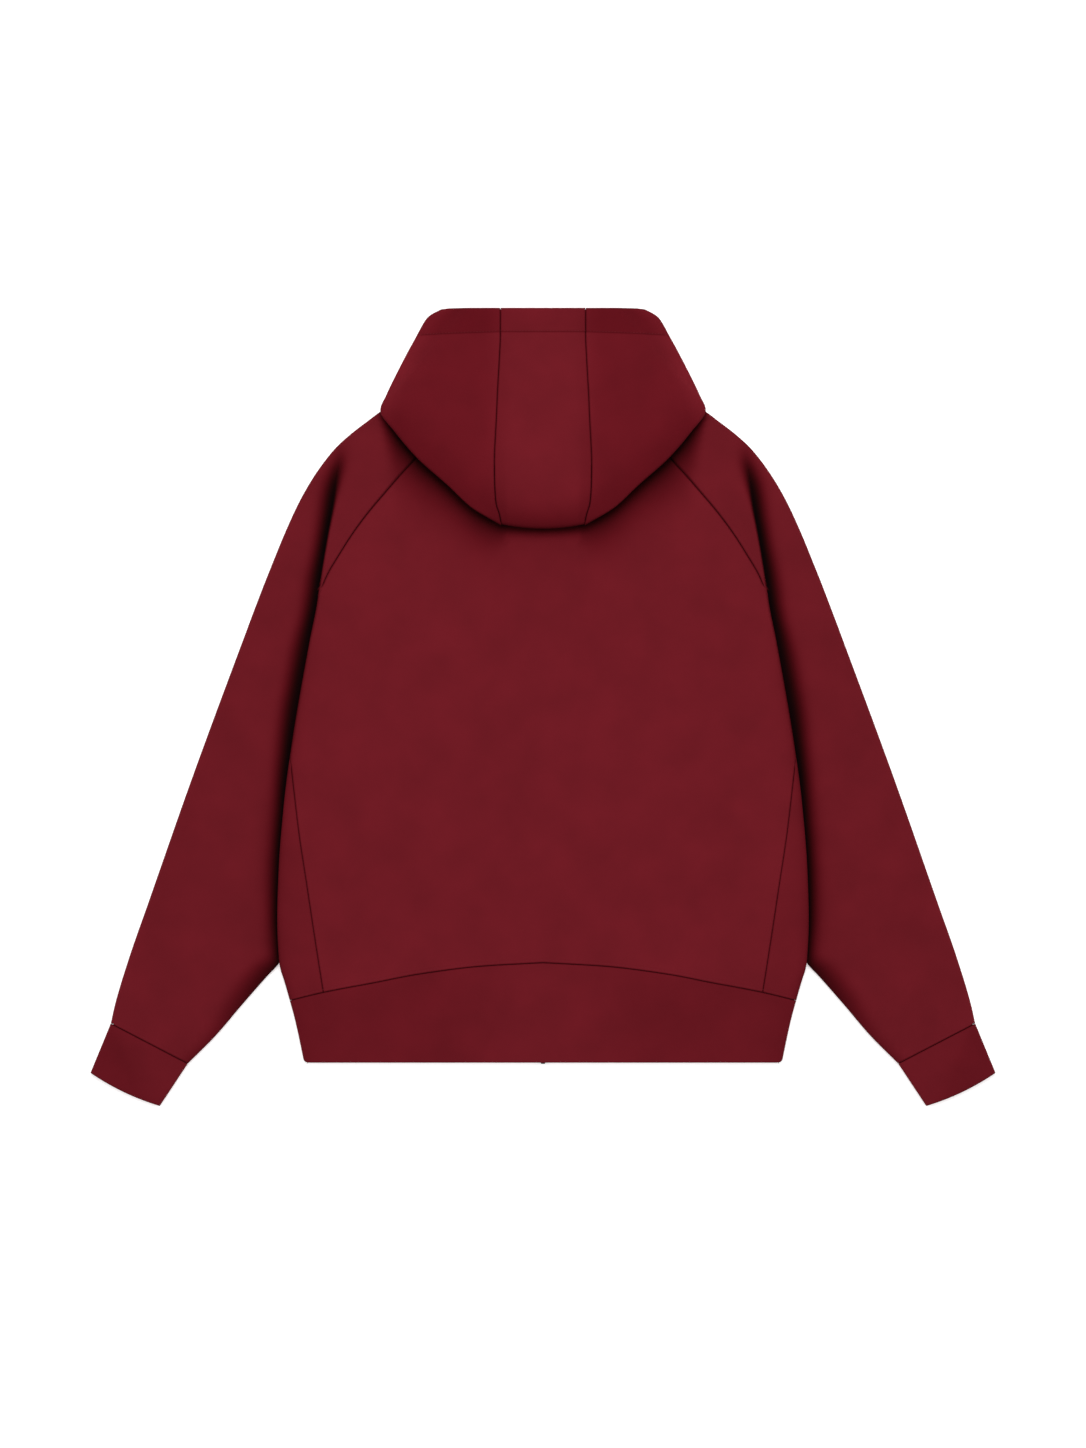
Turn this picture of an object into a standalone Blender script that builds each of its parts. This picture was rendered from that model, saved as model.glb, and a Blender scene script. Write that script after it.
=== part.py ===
"""Zip-up hoodie laid out flat, back up: every cut piece is a wall of cloth on its own sections.

Tables and sections are in millimetres and for the wearer's +X half; the other half is mirrored.
+X is across the garment, +Y runs towards the hood and +Z up from the surface it lies on.
"""
import math
from bisect import bisect_right
from collections import namedtuple

import bmesh
import bpy

MM = 0.001
CLOTH = 2.0            # wall of the double-knit cloth
RIB = 2.5              # wall of the folded waistband and cuffs
GAP = 0.3              # clearance at every seam
LAID = 7.4             # height of two layers lying on each other
EDGE_R = 3.7           # rounding of a laid tube's edge
ROLL_R = 4.0           # rounding of the body's raised edge, seen from above
ROLL_TURN = 6.4        # length of cloth from the top of that edge to its side
EDGE_SEAM_GAP = 0.3    # more clearance between waistband and body near the body's edge
ROLL_SEAM_GAP = 1.2    # more clearance where the side seam runs out on to that edge
RISE_REACH = 75.0      # how far inside the edge the body starts to rise
RISE_RUN = 50.0        # width of that rise, and of the sleeve's rise out of the fold
UNDER_RISE_RUN = 47.0  # the same rise in the front panels, which keeps clear of the sleeves
SEAM_STEP = 0.9        # smallest spacing of columns pressed against a seam
UNDERARM_Y = -41.0
SIDE_SEAM_TOP_Y = -66.0
RAGLAN_FOLD_Y = 136.0  # where the raglan seam reaches the armhole fold
HEM_BOTTOM_Y = -394.0
ZIP_HALF = 6.5         # centre-front edge of each front, from the middle of the zip
SLIDER_Y = 262.0
SLIDER_SPREAD = 45.0   # how far round the slider the layers are lifted
FRONT_LIFT, BACK_LIFT = 4.0, 5.4

Section = namedtuple("Section", "y edge_x ridge_z under_z valley_z")
SECTIONS = [
    Section(-394, 265.0, 7.4, 0.0, 7.4),
    Section(-347, 275.3, 7.4, 0.0, 7.4),
    Section(-325, 281.0, 7.4, 0.0, 7.2),
    Section(-304, 286.8, 10.4, 4.0, 6.4),
    Section(-285, 292.2, 12.6, 7.3, 5.2),
    Section(-236, 294.7, 12.6, 7.3, 5.0),
    Section(-178, 293.0, 12.6, 7.3, 5.0),
    Section(-110, 287.6, 12.6, 7.3, 5.0),
    Section(-78, 284.0, 11.9, 4.6, 5.0),
    Section(-41, 278.7, 10.8, 0.0, 5.0),
    Section(-14, 274.5, 10.6, 0.0, 5.0),
    Section(75, 258.6, 10.5, 0.0, 5.0),
    Section(114, 250.8, 10.5, 0.0, 5.0),
    Section(142, 247.0, 10.5, 0.0, 5.0),
    Section(186, 240.0, 10.4, 0.0, 5.0),
    Section(226, 233.0, 9.8, 0.0, 5.4),
    Section(255, 229.5, 8.4, 0.0, 6.5),
    Section(278, 225.0, 7.4, 0.0, 7.4),
]

Curve = namedtuple("Curve", "at value")
HEM_SEAM = [Curve(0, -283), Curve(69, -287), Curve(139.5, -296), Curve(186, -305),
            Curve(244, -316), Curve(281, -325)]
BACK_SEAM = [Curve(-316, 243.6), Curve(-250, 253.7), Curve(-195, 262.0), Curve(-141, 270.2),
             Curve(-96, 275.6), Curve(-66, 279.0)]
RAGLAN_SEAM = [Curve(136, 244.0), Curve(149, 238.0), Curve(169, 226.0), Curve(191, 212.0),
               Curve(215, 194.3), Curve(237, 175.8), Curve(259, 156.7), Curve(276, 140.8),
               Curve(308, 112.0), Curve(349, 82.0)]
FRONT_RAGLAN = [Curve(-41, 278.7), Curve(40, 236.0), Curve(120, 192.0), Curve(200, 149.0),
                Curve(260, 114.0), Curve(308, 80.0)]
SLEEVE_INNER = [Curve(-395, 394.0), Curve(-364, 363.0), Curve(-330, 334.0), Curve(-297, 305.0),
                Curve(-284, 293.0), Curve(-262, 281.0), Curve(-230, 274.0), Curve(-190, 271.0),
                Curve(-150, 272.0), Curve(-118, 279.5), Curve(-90, 286.6), Curve(-60, 283.2),
                Curve(-41, 279.6)]
SLEEVE_OUTER = [Curve(-350.4, 479.5), Curve(-330, 475.0), Curve(-280, 460.0), Curve(-214, 437.0),
                Curve(-80, 390.0), Curve(53, 341.0), Curve(153, 303.0), Curve(219, 275.0),
                Curve(252, 257.0), Curve(286, 232.0), Curve(302, 215.0), Curve(319, 193.0),
                Curve(328, 181.0), Curve(342, 158.0), Curve(355, 133.0), Curve(364, 105.0)]
BACK_NECK = [Curve(0, 342.0), Curve(82, 349.0)]
FRONT_NECK = [Curve(0, 275.0), Curve(40, 281.0), Curve(80, 308.0)]

ROW_SLANT = [Curve(-395, -350.4), Curve(-368, -330), Curve(-340, -310), Curve(-310, -288),
             Curve(-282, -266), Curve(-248, -240), Curve(-200, -198), Curve(-150, -150),
             Curve(40, 40), Curve(90, 92), Curve(126, 134), Curve(139, 152), Curve(165, 184),
             Curve(190, 214), Curve(215, 244), Curve(245, 277), Curve(276, 310), Curve(318, 342),
             Curve(349, 364)]

# Rows run across each panel at these heights, and columns at these distances or shares.
BODY_ROWS = [-283, -258, -228, -192, -150, -116, -88, -67, -60, -51, -42]
BACK_ROWS = [-36, 0, 50, 95, 130, 137, 150, 165, 185, 208, 230, 252, 276, 308, 342]
FRONT_ROWS = [-36, 0, 60, 120, 170, 215, 245, 275]
SLEEVE_ROWS = [349, 334, 308, 276, 252, 230, 208, 185, 165, 150, 137, 130, 95, 50, 0, -37, -45, -75,
               -108, -150, -200, -248, -282, -310, -340, -368, -395]
LEVEL_COLUMNS = [0, 60, 105, 145]          # from centre back or centre front
RISE_COLUMNS = [73, 56, 40, 24, 9]         # inside the body's edge
SLEEVE_TOP_SHARES = [0.07, 0.2, 0.38, 1.0]
SLEEVE_UNDER_SHARES = [0.4, 0.8, 0.97, 0.99, 1.0]
BAND_COLUMNS = [60, 105, 145, 204, 221, 237, 253, 268]
TUBE_SHARES = [0.0, 0.25, 0.5, 0.75, 1.0]
TUBE_DEPTH_SHARES = [0.0, 0.33, 0.67, 1.0]

CUFF_TOP = ((394.0, -395.0), (479.5, -350.4))
CUFF_END = ((425.0, -441.8), (502.0, -405.0))
CUFF_BULGE = 3.3

HoodLine = namedtuple("HoodLine", "at top_x top_y fold_x fold_y via_x via_y neck_x neck_y fold_z low_z laid")
HOOD_TOP_Z, HOOD_CROWN_Z = 24.0, 28.0
HOOD_SIDE = [
    HoodLine(0, 47.5, 442.3, 47.1, 203.0, 44.8, 280, 37.2, 340, 18, 8.0, 1.0),
    HoodLine(1, 54, 442.3, 75.0, 220.0, 64, 290, 54, 342, 18, 8.0, 1.0),
    HoodLine(2, 60, 442.3, 103.0, 245.0, 84, 305, 72, 345, 18, 8.0, 1.0),
    HoodLine(3, 67, 442.3, 140.0, 277.0, 110, 325, 86, 351, 17, 8.0, 1.0),
    HoodLine(4, 74, 442.3, 164.0, 305.0, 128, 338, 97, 359, 15, 8.0, 1.0),
    HoodLine(5, 80, 442.3, 180.4, 329.0, 140, 354, 107, 370, 13.5, 8.0, 0.0),
    HoodLine(6, 86, 442.3, 173.5, 347.0, 136, 374, 103, 374, 10.5, 3.5, 0.0),
    HoodLine(7, 92, 442.3, 160.0, 375.0, 114, 398, 88, 348, 9, 2.4, 0.0),
    HoodLine(8, 98, 442.3, 143.0, 407.0, 98, 406, 79, 309.5, 9, 0.4, 0.0),
    HoodLine(9, 101, 442.3, 127.0, 433.5, 84, 408, 38, 287, 9, 0.4, 0.0),
    HoodLine(10, 104, 442.3, 113.5, 441.3, 70, 414, 6.5, 276.8, 9, 0.4, 0.0),
]
HOOD_SEAM = [Curve(203, 46.0), Curve(214, 48.3), Curve(226, 52.0), Curve(246, 53.4), Curve(272, 53.8),
             Curve(299, 52.7), Curve(319, 51.6), Curve(346, 50.5), Curve(366, 49.4), Curve(386, 48.3),
             Curve(412, 47.2), Curve(442, 47.2)]
HOOD_ROWS = [0, 0.5, 1, 2, 3, 4, 4.5, 5, 5.5, 6, 7, 8, 9, 9.5, 10]
CENTRE_ROWS = [-1.0, -0.66, -0.33, 0.0, 0.33, 0.66, 1.0]
HOOD_SHARES = [0.0, 0.12, 0.28, 0.44, 0.6, 0.74, 0.86, 0.94, 1.0]
HOOD_UNDER_SHARES = [0.08, 0.18, 0.32, 0.5, 0.7, 0.87, 1.0]
HOOD_SLOPE = 36.0         # how far inside its folded outline the hood's upper layer levels out
HOOD_UNDER_RUN = 42.0     # how far in from the fold the lower layer comes down to rest
HOOD_CLEAR = 0.6          # clearance over the back panel
NECK_HALF = 36.6          # half width of the centre panel at the neck seam
CENTRE_BULGE = 5.0
FOLD_R = 3.5

TAPE_IN, TAPE_OUT = 2.9, 16.0
TAPE_Z, TAPE_WALL = 2.9, 1.0
TAPE_Y = (-393.0, 272.0)
TEETH_HALF, TEETH_Z, TEETH_WALL = 2.5, 2.0, 2.8
TEETH_Y = (-386.0, SLIDER_Y - 8.4)
ZIP_ROWS = [-250, -100, 50, 120, 165, 190, 210, 230, 245]

# Corners of the zip's blocks: x as a half width, y from the slider's middle, z from the surface.
Block = namedtuple("Block", "half_x y_low y_high z_low z_high")
ZIP_BOX = Block(2.5, -657.4, -648.5, 0.3, 4.6)
SLIDER_FRONT = Block(5.2, -8.0, 5.0, 4.6, 5.9)
SLIDER_POST = Block(2.4, -7.6, 4.0, 5.4, 9.6)
SLIDER_BACK = Block(5.2, -8.0, 5.0, 9.0, 10.2)
BRIDGE = Block(1.1, -5.0, 4.0, 1.2, 5.0)
BRIDGE_GAP = Block(2.0, -3.6, 2.6, 2.3, 4.6)
PULL_TAB = Block(3.6, -36.0, 0.7, 2.75, 4.15)
PULL_EYE = Block(2.0, -8.5, -0.7, 1.75, 5.15)
PULL_SLOT = Block(1.9, -31.0, -22.0, 1.75, 5.15)

CLOTH_RED = (0.147, 0.009, 0.015, 1.0)
TAPE_RED = (0.09, 0.006, 0.010, 1.0)
METAL = (0.10, 0.10, 0.11, 1.0)


# ---------------------------------------------------------------- curves through the tables

def read(table, at, column=None):
    """A column's value at a place between rows, on a smooth curve that never overshoots them."""
    column = column or table[0]._fields[1]
    keys = [row[0] for row in table]
    values = [getattr(row, column) for row in table]
    if at <= keys[0]:
        return values[0]
    if at >= keys[-1]:
        return values[-1]
    steps = [b - a for a, b in zip(keys, keys[1:])]
    slopes = [(b - a) / step for a, b, step in zip(values, values[1:], steps)]

    def tangent(i):
        if i == 0 or i == len(slopes):
            return slopes[min(i, len(slopes) - 1)]
        before, after = slopes[i - 1], slopes[i]
        return 0.0 if before * after <= 0 else 2.0 * before * after / (before + after)

    i = bisect_right(keys, at) - 1
    t = (at - keys[i]) / steps[i]
    rise = values[i + 1] - values[i]
    start, end = tangent(i) * steps[i], tangent(i + 1) * steps[i]
    return values[i] + t * start + t * t * (3 * rise - 2 * start - end) + t ** 3 * (start + end - 2 * rise)


def smooth(t):
    t = min(max(t, 0.0), 1.0)
    return t * t * (3.0 - 2.0 * t)


def mix(a, b, t):
    return a + (b - a) * t


def section(y, column):
    return read(SECTIONS, y, column)


def lift(x, y):
    """How far the layers rise over the slider, as a share of the most."""
    return math.exp(-(x * x + (y - SLIDER_Y) ** 2) / (2.0 * SLIDER_SPREAD ** 2))


def top_z(x, y):
    """Outer height of the upper layer inside the body's edge."""
    rise = smooth((x - section(y, "edge_x") + RISE_REACH) / RISE_RUN)
    return LAID + BACK_LIFT * lift(x, y) + (section(y, "ridge_z") - LAID) * rise


def under_z(x, y):
    """Outer height of the front panel, lifted where the sleeve is tucked under the body's edge."""
    rise = smooth((x - section(y, "edge_x") + RISE_REACH) / UNDER_RISE_RUN)
    return FRONT_LIFT * lift(x, y) + section(y, "under_z") * rise


def valley_z(x, y):
    """Outer height of the sleeve's upper layer outside the body's edge."""
    return mix(section(y, "valley_z"), LAID, smooth((x - section(y, "edge_x")) / RISE_RUN))


def press(columns, start, end):
    """Keep columns, which are in order, between two seams, pressed against them a small step apart."""
    last = len(columns) - 1
    low = [max(c, start + SEAM_STEP * i) for i, c in enumerate(columns)]
    return [min(c, end - SEAM_STEP * (last - i)) for i, c in enumerate(low)]


# ---------------------------------------------------------------- making a cloth piece

def material(name, colour, roughness, metallic=0.0):
    made = bpy.data.materials.new(name)
    made.use_nodes = True
    shader = made.node_tree.nodes["Principled BSDF"]
    shader.inputs["Base Color"].default_value = colour
    shader.inputs["Roughness"].default_value = roughness
    shader.inputs["Metallic"].default_value = metallic
    made.diffuse_color = colour
    return made


def cloth(name, rows, wall, finish, side=1, first_faces_up=True, ring=False):
    """A wall of cloth inside the surface that runs through rows of points given in millimetres."""
    mesh = bpy.data.meshes.new(name)
    bm = bmesh.new()
    grid = [[bm.verts.new((side * x * MM, y * MM, z * MM)) for x, y, z in row] for row in rows]
    count = len(rows[0])
    for upper, lower in zip(grid, grid[1:]):
        for i in range(count if ring else count - 1):
            j = (i + 1) % count
            bm.faces.new((upper[i], upper[j], lower[j], lower[i]))
    bm.faces.ensure_lookup_table()
    bm.normal_update()
    if (bm.faces[0].normal.z > 0) != first_faces_up:
        bmesh.ops.reverse_faces(bm, faces=bm.faces[:])
    bm.to_mesh(mesh)
    bm.free()
    mesh.shade_smooth()
    mesh.materials.append(finish)
    piece = bpy.data.objects.new(name, mesh)
    garment.objects.link(piece)
    solidify = piece.modifiers.new("wall", "SOLIDIFY")
    solidify.thickness = wall * MM
    solidify.offset = -1.0
    return piece


# ---------------------------------------------------------------- body

def body_y(row_y, x, neck=None):
    """Height up the body of a row at x: it follows the waistband seam low down, the neck high up."""
    low = smooth((-190.0 - row_y) / 93.0)
    y = row_y + low * (read(HEM_SEAM, min(x, 281.0)) - HEM_SEAM[0].value)
    if neck:
        high = smooth((row_y - neck[0].value + 90.0) / 90.0)
        y += high * (read(neck, x) - neck[0].value)
    return y


def seam_end(y):
    """How far round the body, from centre back, its back panel reaches at a height."""
    side = section(y, "edge_x") - ROLL_R + ROLL_TURN
    if y > RAGLAN_FOLD_Y:
        return read(RAGLAN_SEAM, y)
    if y < SIDE_SEAM_TOP_Y:
        return read(BACK_SEAM, y)
    turned = mix(BACK_SEAM[-1].value, side + 1.0, smooth((y - SIDE_SEAM_TOP_Y) / 25.0))
    return mix(turned, RAGLAN_SEAM[0].value, smooth((y - RAGLAN_FOLD_Y + 6.0) / 6.0))


def roll_point(s, row_y):
    """A point of the back panel, s along it from centre back and over the edge's roll."""
    edge_y = body_y(row_y, section(row_y, "edge_x"), BACK_NECK)
    flat = section(edge_y, "edge_x") - ROLL_R
    angle = min(max(s - flat, 0.0) / ROLL_TURN, 1.0) * math.pi / 2
    x = min(s, flat) + ROLL_R * math.sin(angle)
    y = body_y(row_y, x, BACK_NECK)
    if angle == 0:
        return x, y, top_z(x, y)
    low = section(y, "valley_z")
    if y < UNDERARM_Y:
        low = (section(y, "ridge_z") + section(y, "under_z")) / 2.0
    return x, y, mix(low, section(y, "ridge_z"), math.cos(angle)) - max(s - flat - ROLL_TURN, 0.0)


def back_row(row_y):
    """Centre back to side or raglan seam."""
    end = seam_end(body_y(row_y, 250.0))
    if row_y > RAGLAN_FOLD_Y:
        end = seam_end(body_y(row_y, seam_end(row_y), BACK_NECK))
    flat = section(body_y(row_y, section(row_y, "edge_x"), BACK_NECK), "edge_x") - ROLL_R
    wanted = LEVEL_COLUMNS + [flat - d for d in RISE_COLUMNS]
    wanted += [flat + ROLL_TURN * share for share in (0.0, 0.33, 0.67, 1.0, 1.25)]
    return [roll_point(s, row_y) for s in press(wanted, 0.0, end)]


def make_back(finish):
    rows = []
    for row_y in BODY_ROWS + BACK_ROWS:
        half = back_row(row_y)
        rows.append([(-x, y, z) for x, y, z in reversed(half[1:])] + half)
    cloth("back_panel", rows, CLOTH, finish)


def wrapped_point(s, row_y, flat):
    """A point of the body's tube, s along it: out on the under side, round the edge, back on top."""
    if s <= flat:
        y = body_y(row_y, s, FRONT_NECK)
        return s, y, under_z(s, y)
    if s < flat + 2 * ROLL_TURN:
        angle = (s - flat) / ROLL_TURN * math.pi / 2
        y = body_y(row_y, flat, FRONT_NECK)
        ridge, under = section(y, "ridge_z"), section(y, "under_z")
        return flat + ROLL_R * math.sin(angle), y, (ridge + under - (ridge - under) * math.cos(angle)) / 2.0
    x = 2 * (flat + ROLL_TURN) - s
    y = body_y(row_y, x, FRONT_NECK)
    return x, y, top_z(x, y)


def front_row(row_y):
    """Centre front to side seam: under side, body edge, and the strip that shows on the back."""
    edge_y = body_y(row_y, section(row_y, "edge_x"))
    flat = section(edge_y, "edge_x") - ROLL_R
    if edge_y > UNDERARM_Y:
        end = read(FRONT_RAGLAN, body_y(row_y, read(FRONT_RAGLAN, row_y), FRONT_NECK)) - GAP
    else:
        end = 2 * (flat + ROLL_TURN) - seam_end(body_y(row_y, 250.0)) - GAP
        end -= ROLL_SEAM_GAP * smooth((row_y - SIDE_SEAM_TOP_Y) / 20.0 + 1.0)
    strip = max(end - flat - 2 * ROLL_TURN, 0.0)
    wanted = LEVEL_COLUMNS + [flat - d for d in RISE_COLUMNS]
    wanted += [flat + 2 * ROLL_TURN * share for share in (0.0, 0.25, 0.5, 0.75)]
    wanted += [flat + 2 * ROLL_TURN + strip * share for share in (0.0, 0.33, 0.67, 1.0)]
    return [wrapped_point(s, row_y, flat) for s in press(wanted, ZIP_HALF, end)]


def make_fronts(finish):
    rows = [front_row(row_y) for row_y in BODY_ROWS + FRONT_ROWS]
    for name, side in (("front_right", 1), ("front_left", -1)):
        cloth(name, rows, CLOTH, finish, side, first_faces_up=False)


def edge_turn(full, angles):
    """Steps round a laid tube's edge from its under side up: how far out, and how high."""
    return [(EDGE_R * math.sin(math.radians(a)), full / 2 * (1 - math.cos(math.radians(a)))) for a in angles]


def make_waistband(finish):
    """One band from centre front round the back to centre front, between seam and hem."""
    rows = []
    seam_edge = section(HEM_SEAM[-1].value, "edge_x")
    for share in TUBE_DEPTH_SHARES:
        edge_y = mix(HEM_SEAM[-1].value, HEM_BOTTOM_Y, share)
        narrower = section(edge_y, "edge_x") / seam_edge
        flat = seam_edge - EDGE_R
        spots = [(x, 0.0) for x in [ZIP_HALF] + BAND_COLUMNS]
        spots += [(flat + out, z) for out, z in edge_turn(LAID, (0, 45, 90, 135, 180))]
        spots += [(x, LAID) for x in reversed([0] + BAND_COLUMNS)]
        half = []
        for x, z in spots:
            seam_y = read(HEM_SEAM, x) - GAP - EDGE_SEAM_GAP * smooth((x - 220.0) / 40.0)
            half.append((x if x == ZIP_HALF else x * narrower, mix(seam_y, HEM_BOTTOM_Y, share), z))
        rows.append(half + [(-x, y, z) for x, y, z in reversed(half[:-1])])
    cloth("waistband", rows, RIB, finish, first_faces_up=False)


# ---------------------------------------------------------------- sleeves and cuffs

def sleeve_z(x, y):
    """Outer height of the sleeve's upper layer: it is level with the body, then drops into the fold."""
    edge = section(y, "edge_x")
    if x >= edge:
        return valley_z(x, y)
    if x <= edge - ROLL_R:
        return top_z(x, y)
    share = (x - edge + ROLL_R) / ROLL_R
    return mix(section(y, "valley_z"), section(y, "ridge_z"), math.sqrt(1.0 - share * share))


def inner_edge(y):
    """Inner side of the sleeve's upper layer: raglan seam, body edge, then the seam under the arm."""
    if y > RAGLAN_FOLD_Y:
        return read(RAGLAN_SEAM, y) + 2 * GAP
    if y < UNDERARM_Y:
        return read(SLEEVE_INNER, y)
    return mix(section(y, "edge_x"), RAGLAN_SEAM[0].value, smooth((y - RAGLAN_FOLD_Y + 6) / 6)) + 2 * GAP


def tube_side(inside, full):
    """Height of a tube's upper layer near its rounded inner side, a little above its seam."""
    radius = full / 2.0
    share = min(max(inside / radius, 0.0), 1.0)
    return max(radius + radius * math.sqrt(1.0 - (1.0 - share) ** 2), radius + GAP)


def sleeve_row(inner_y):
    """Raglan or underarm seam, over the upper layer to the outer edge and back underneath."""
    tucked = inner_y < UNDERARM_Y
    outer_y = read(ROW_SLANT, inner_y)
    x_in, x_out = inner_edge(inner_y), read(SLEEVE_OUTER, outer_y)
    flat_out = x_out - EDGE_R

    def y_at(x):
        return mix(inner_y, outer_y, (x - x_in) / (x_out - x_in))

    edge = section(inner_y, "edge_x")
    for _ in range(4):
        edge = section(y_at(edge), "edge_x")
    edge = min(edge, flat_out)
    brink = edge - ROLL_R
    wanted = [mix(min(x_in, brink), brink, share) for share in (0.0, 0.33, 0.67)]
    wanted += [brink + ROLL_R * share for share in (0.0, 0.6, 0.9, 1.0)]
    wanted += [mix(edge, flat_out, share) for share in SLEEVE_TOP_SHARES]
    points = []
    for x in press(wanted, x_in, flat_out):
        y = y_at(x)
        z = tube_side(x - x_in, valley_z(x, y)) if tucked else sleeve_z(x, y)
        points.append((x, y, z))
    full = points[-1][2]
    points += [(flat_out + out, outer_y, z) for out, z in edge_turn(full, (135, 90, 45, 0))]
    end_x, end_y = x_in, inner_y
    if not tucked:
        share = (inner_y - UNDERARM_Y) / (RAGLAN_SEAM[-1].at - UNDERARM_Y)
        end_y = mix(UNDERARM_Y, FRONT_RAGLAN[-1].at, share)
        end_x = read(FRONT_RAGLAN, end_y) + GAP
    for share in SLEEVE_UNDER_SHARES:
        x, y = mix(flat_out, end_x, share), mix(outer_y, end_y, share)
        z = FRONT_LIFT * lift(x, y)
        if tucked:
            z = valley_z(x, y) - tube_side(x - x_in, valley_z(x, y))
        points.append((x, y, z))
    return points


def make_sleeves(finish):
    rows = [sleeve_row(row) for row in SLEEVE_ROWS]
    for name, side in (("sleeve_right", 1), ("sleeve_left", -1)):
        cloth(name, rows, CLOTH, finish, side)


def make_cuffs(finish):
    """A tube from the sleeve's end to the slightly rounded end of the cuff."""
    rows = []
    for share in TUBE_DEPTH_SHARES:
        inner = [mix(a, b, share) for a, b in zip(CUFF_TOP[0], CUFF_END[0])]
        outer = [mix(a, b, share) for a, b in zip(CUFF_TOP[1], CUFF_END[1])]
        length = math.dist(inner, outer)
        across = [(b - a) / length for a, b in zip(inner, outer)]
        down = (across[1], -across[0])
        top = [(mix(EDGE_R, length - EDGE_R, t), LAID) for t in TUBE_SHARES]
        outer_side = [(length - EDGE_R + out, z) for out, z in edge_turn(LAID, (135, 90, 45))]
        under = [(from_inner, 0.0) for from_inner, _ in reversed(top)]
        inner_side = [(EDGE_R - out, z) for out, z in edge_turn(LAID, (45, 90, 135))]
        ring = []
        for from_inner, z in top + outer_side + under + inner_side:
            bulge = 1 - (2 * from_inner / length - 1) ** 2
            out = GAP + CUFF_BULGE * share * bulge
            ring.append((inner[0] + across[0] * from_inner + down[0] * out,
                         inner[1] + across[1] * from_inner + down[1] * out, z))
        rows.append(ring)
    for name, side in (("cuff_right", 1), ("cuff_left", -1)):
        cloth(name, rows, RIB, finish, side, ring=True)


# ---------------------------------------------------------------- hood

HOOD_OUTLINE = [(read(HOOD_SIDE, at / 16, "fold_x"), read(HOOD_SIDE, at / 16, "fold_y"))
                for at in range(16 * len(HOOD_SIDE) - 15)]


def hood_z(y):
    """Height of the hood's upper layer away from its edges."""
    return mix(HOOD_CROWN_Z, HOOD_TOP_Z, smooth((y - 320.0) / 122.0))


def hood_row(line, follow):
    """Opening edge, down the upper layer, round the lower fold and back under to the neck seam.

    follow is how much of the bow of the panel seam the row takes up. The upper layer's height
    goes by its distance from the folded outline.
    """
    top, fold = (line.top_x, line.top_y), (line.fold_x, line.fold_y)
    length = math.dist(top, fold)
    radius = min(FOLD_R, length * 0.45)
    points = []
    for share in HOOD_SHARES:
        t = share * (1.0 - radius / length)
        x, y = mix(top[0], fold[0], t), mix(top[1], fold[1], t)
        x += follow * (read(HOOD_SEAM, y) - mix(HOOD_SEAM[-1].value, HOOD_SEAM[0].value, t))
        inside = min([(1.0 - t) * length] + [math.dist((abs(x), y), spot) for spot in HOOD_OUTLINE])
        points.append((x, y, mix(line.fold_z + radius, hood_z(y), smooth(inside / HOOD_SLOPE))))
    bow = points[-1][0] - mix(top[0], fold[0], 1.0 - radius / length)
    back_way = [(a - b) / length for a, b in zip(top, fold)]
    reach = math.dist((line.via_x, line.via_y), fold)
    under = ((line.via_x - line.fold_x) / reach, (line.via_y - line.fold_y) / reach)
    for degrees in (45, 90, 135, 180):
        angle = math.radians(degrees)
        inward = radius * (1 - math.sin(angle))
        way = back_way if degrees <= 90 else under
        points.append((fold[0] + way[0] * inward + bow * (1 - degrees / 180), fold[1] + way[1] * inward,
                       line.fold_z + radius * math.cos(angle)))
    start = points[-1]
    for share in HOOD_UNDER_SHARES:
        rest = 1.0 - share
        x = rest ** 2 * start[0] + 2 * share * rest * line.via_x + share ** 2 * line.neck_x
        y = rest ** 2 * start[1] + 2 * share * rest * line.via_y + share ** 2 * line.neck_y
        laid = mix(line.low_z + FRONT_LIFT * lift(x, y), top_z(abs(x), y) + HOOD_CLEAR, line.laid)
        points.append((x, y, mix(start[2], laid, smooth(2 * share * reach / HOOD_UNDER_RUN))))
    return points


def make_hood(finish):
    rows = []
    for f in CENTRE_ROWS:
        bulge = CENTRE_BULGE * (1 - f * f)
        line = HoodLine(0, f * (HOOD_SEAM[-1].value - GAP), HOOD_SIDE[0].top_y, f * (HOOD_SEAM[0].value - GAP),
                        203.0 - bulge, f * 43.5, 280 - bulge, f * NECK_HALF, 340 - bulge, 18, 0.0, 1.0)
        rows.append(hood_row(line, f))
    cloth("hood_center", rows, CLOTH, finish)
    sides = []
    for at in HOOD_ROWS:
        line = HoodLine(at, *(read(HOOD_SIDE, at, column) for column in HoodLine._fields[1:]))
        sides.append(hood_row(line, 1.0 - smooth(at / 3.5)))
    for name, side in (("hood_right", 1), ("hood_left", -1)):
        cloth(name, sides, CLOTH, finish, side)


# ---------------------------------------------------------------- zip

def zip_rows(x_from, x_to, z, y_from, y_to):
    """Rows of a strip up the centre front, lifted round the slider as the fronts are."""
    stops = [y_from] + ZIP_ROWS + [y_to]
    return [[(x, y, z + FRONT_LIFT * lift(0, y)) for x in (x_from, x_to)] for y in stops]


def make_zip(tape_finish, metal_finish):
    for name, side in (("zip_tape_right", 1), ("zip_tape_left", -1)):
        cloth(name, zip_rows(TAPE_IN, TAPE_OUT, TAPE_Z, *TAPE_Y), TAPE_WALL, tape_finish, side,
              first_faces_up=False)
    cloth("zip_teeth", zip_rows(-TEETH_HALF, TEETH_HALF, TEETH_Z, *TEETH_Y), TEETH_WALL, metal_finish,
          first_faces_up=False)
    foot = block("zip_box", ZIP_BOX, metal_finish)
    bevel = foot.modifiers.new("rounded", "BEVEL")
    bevel.width = 0.6 * MM
    bevel.segments = 2


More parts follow.
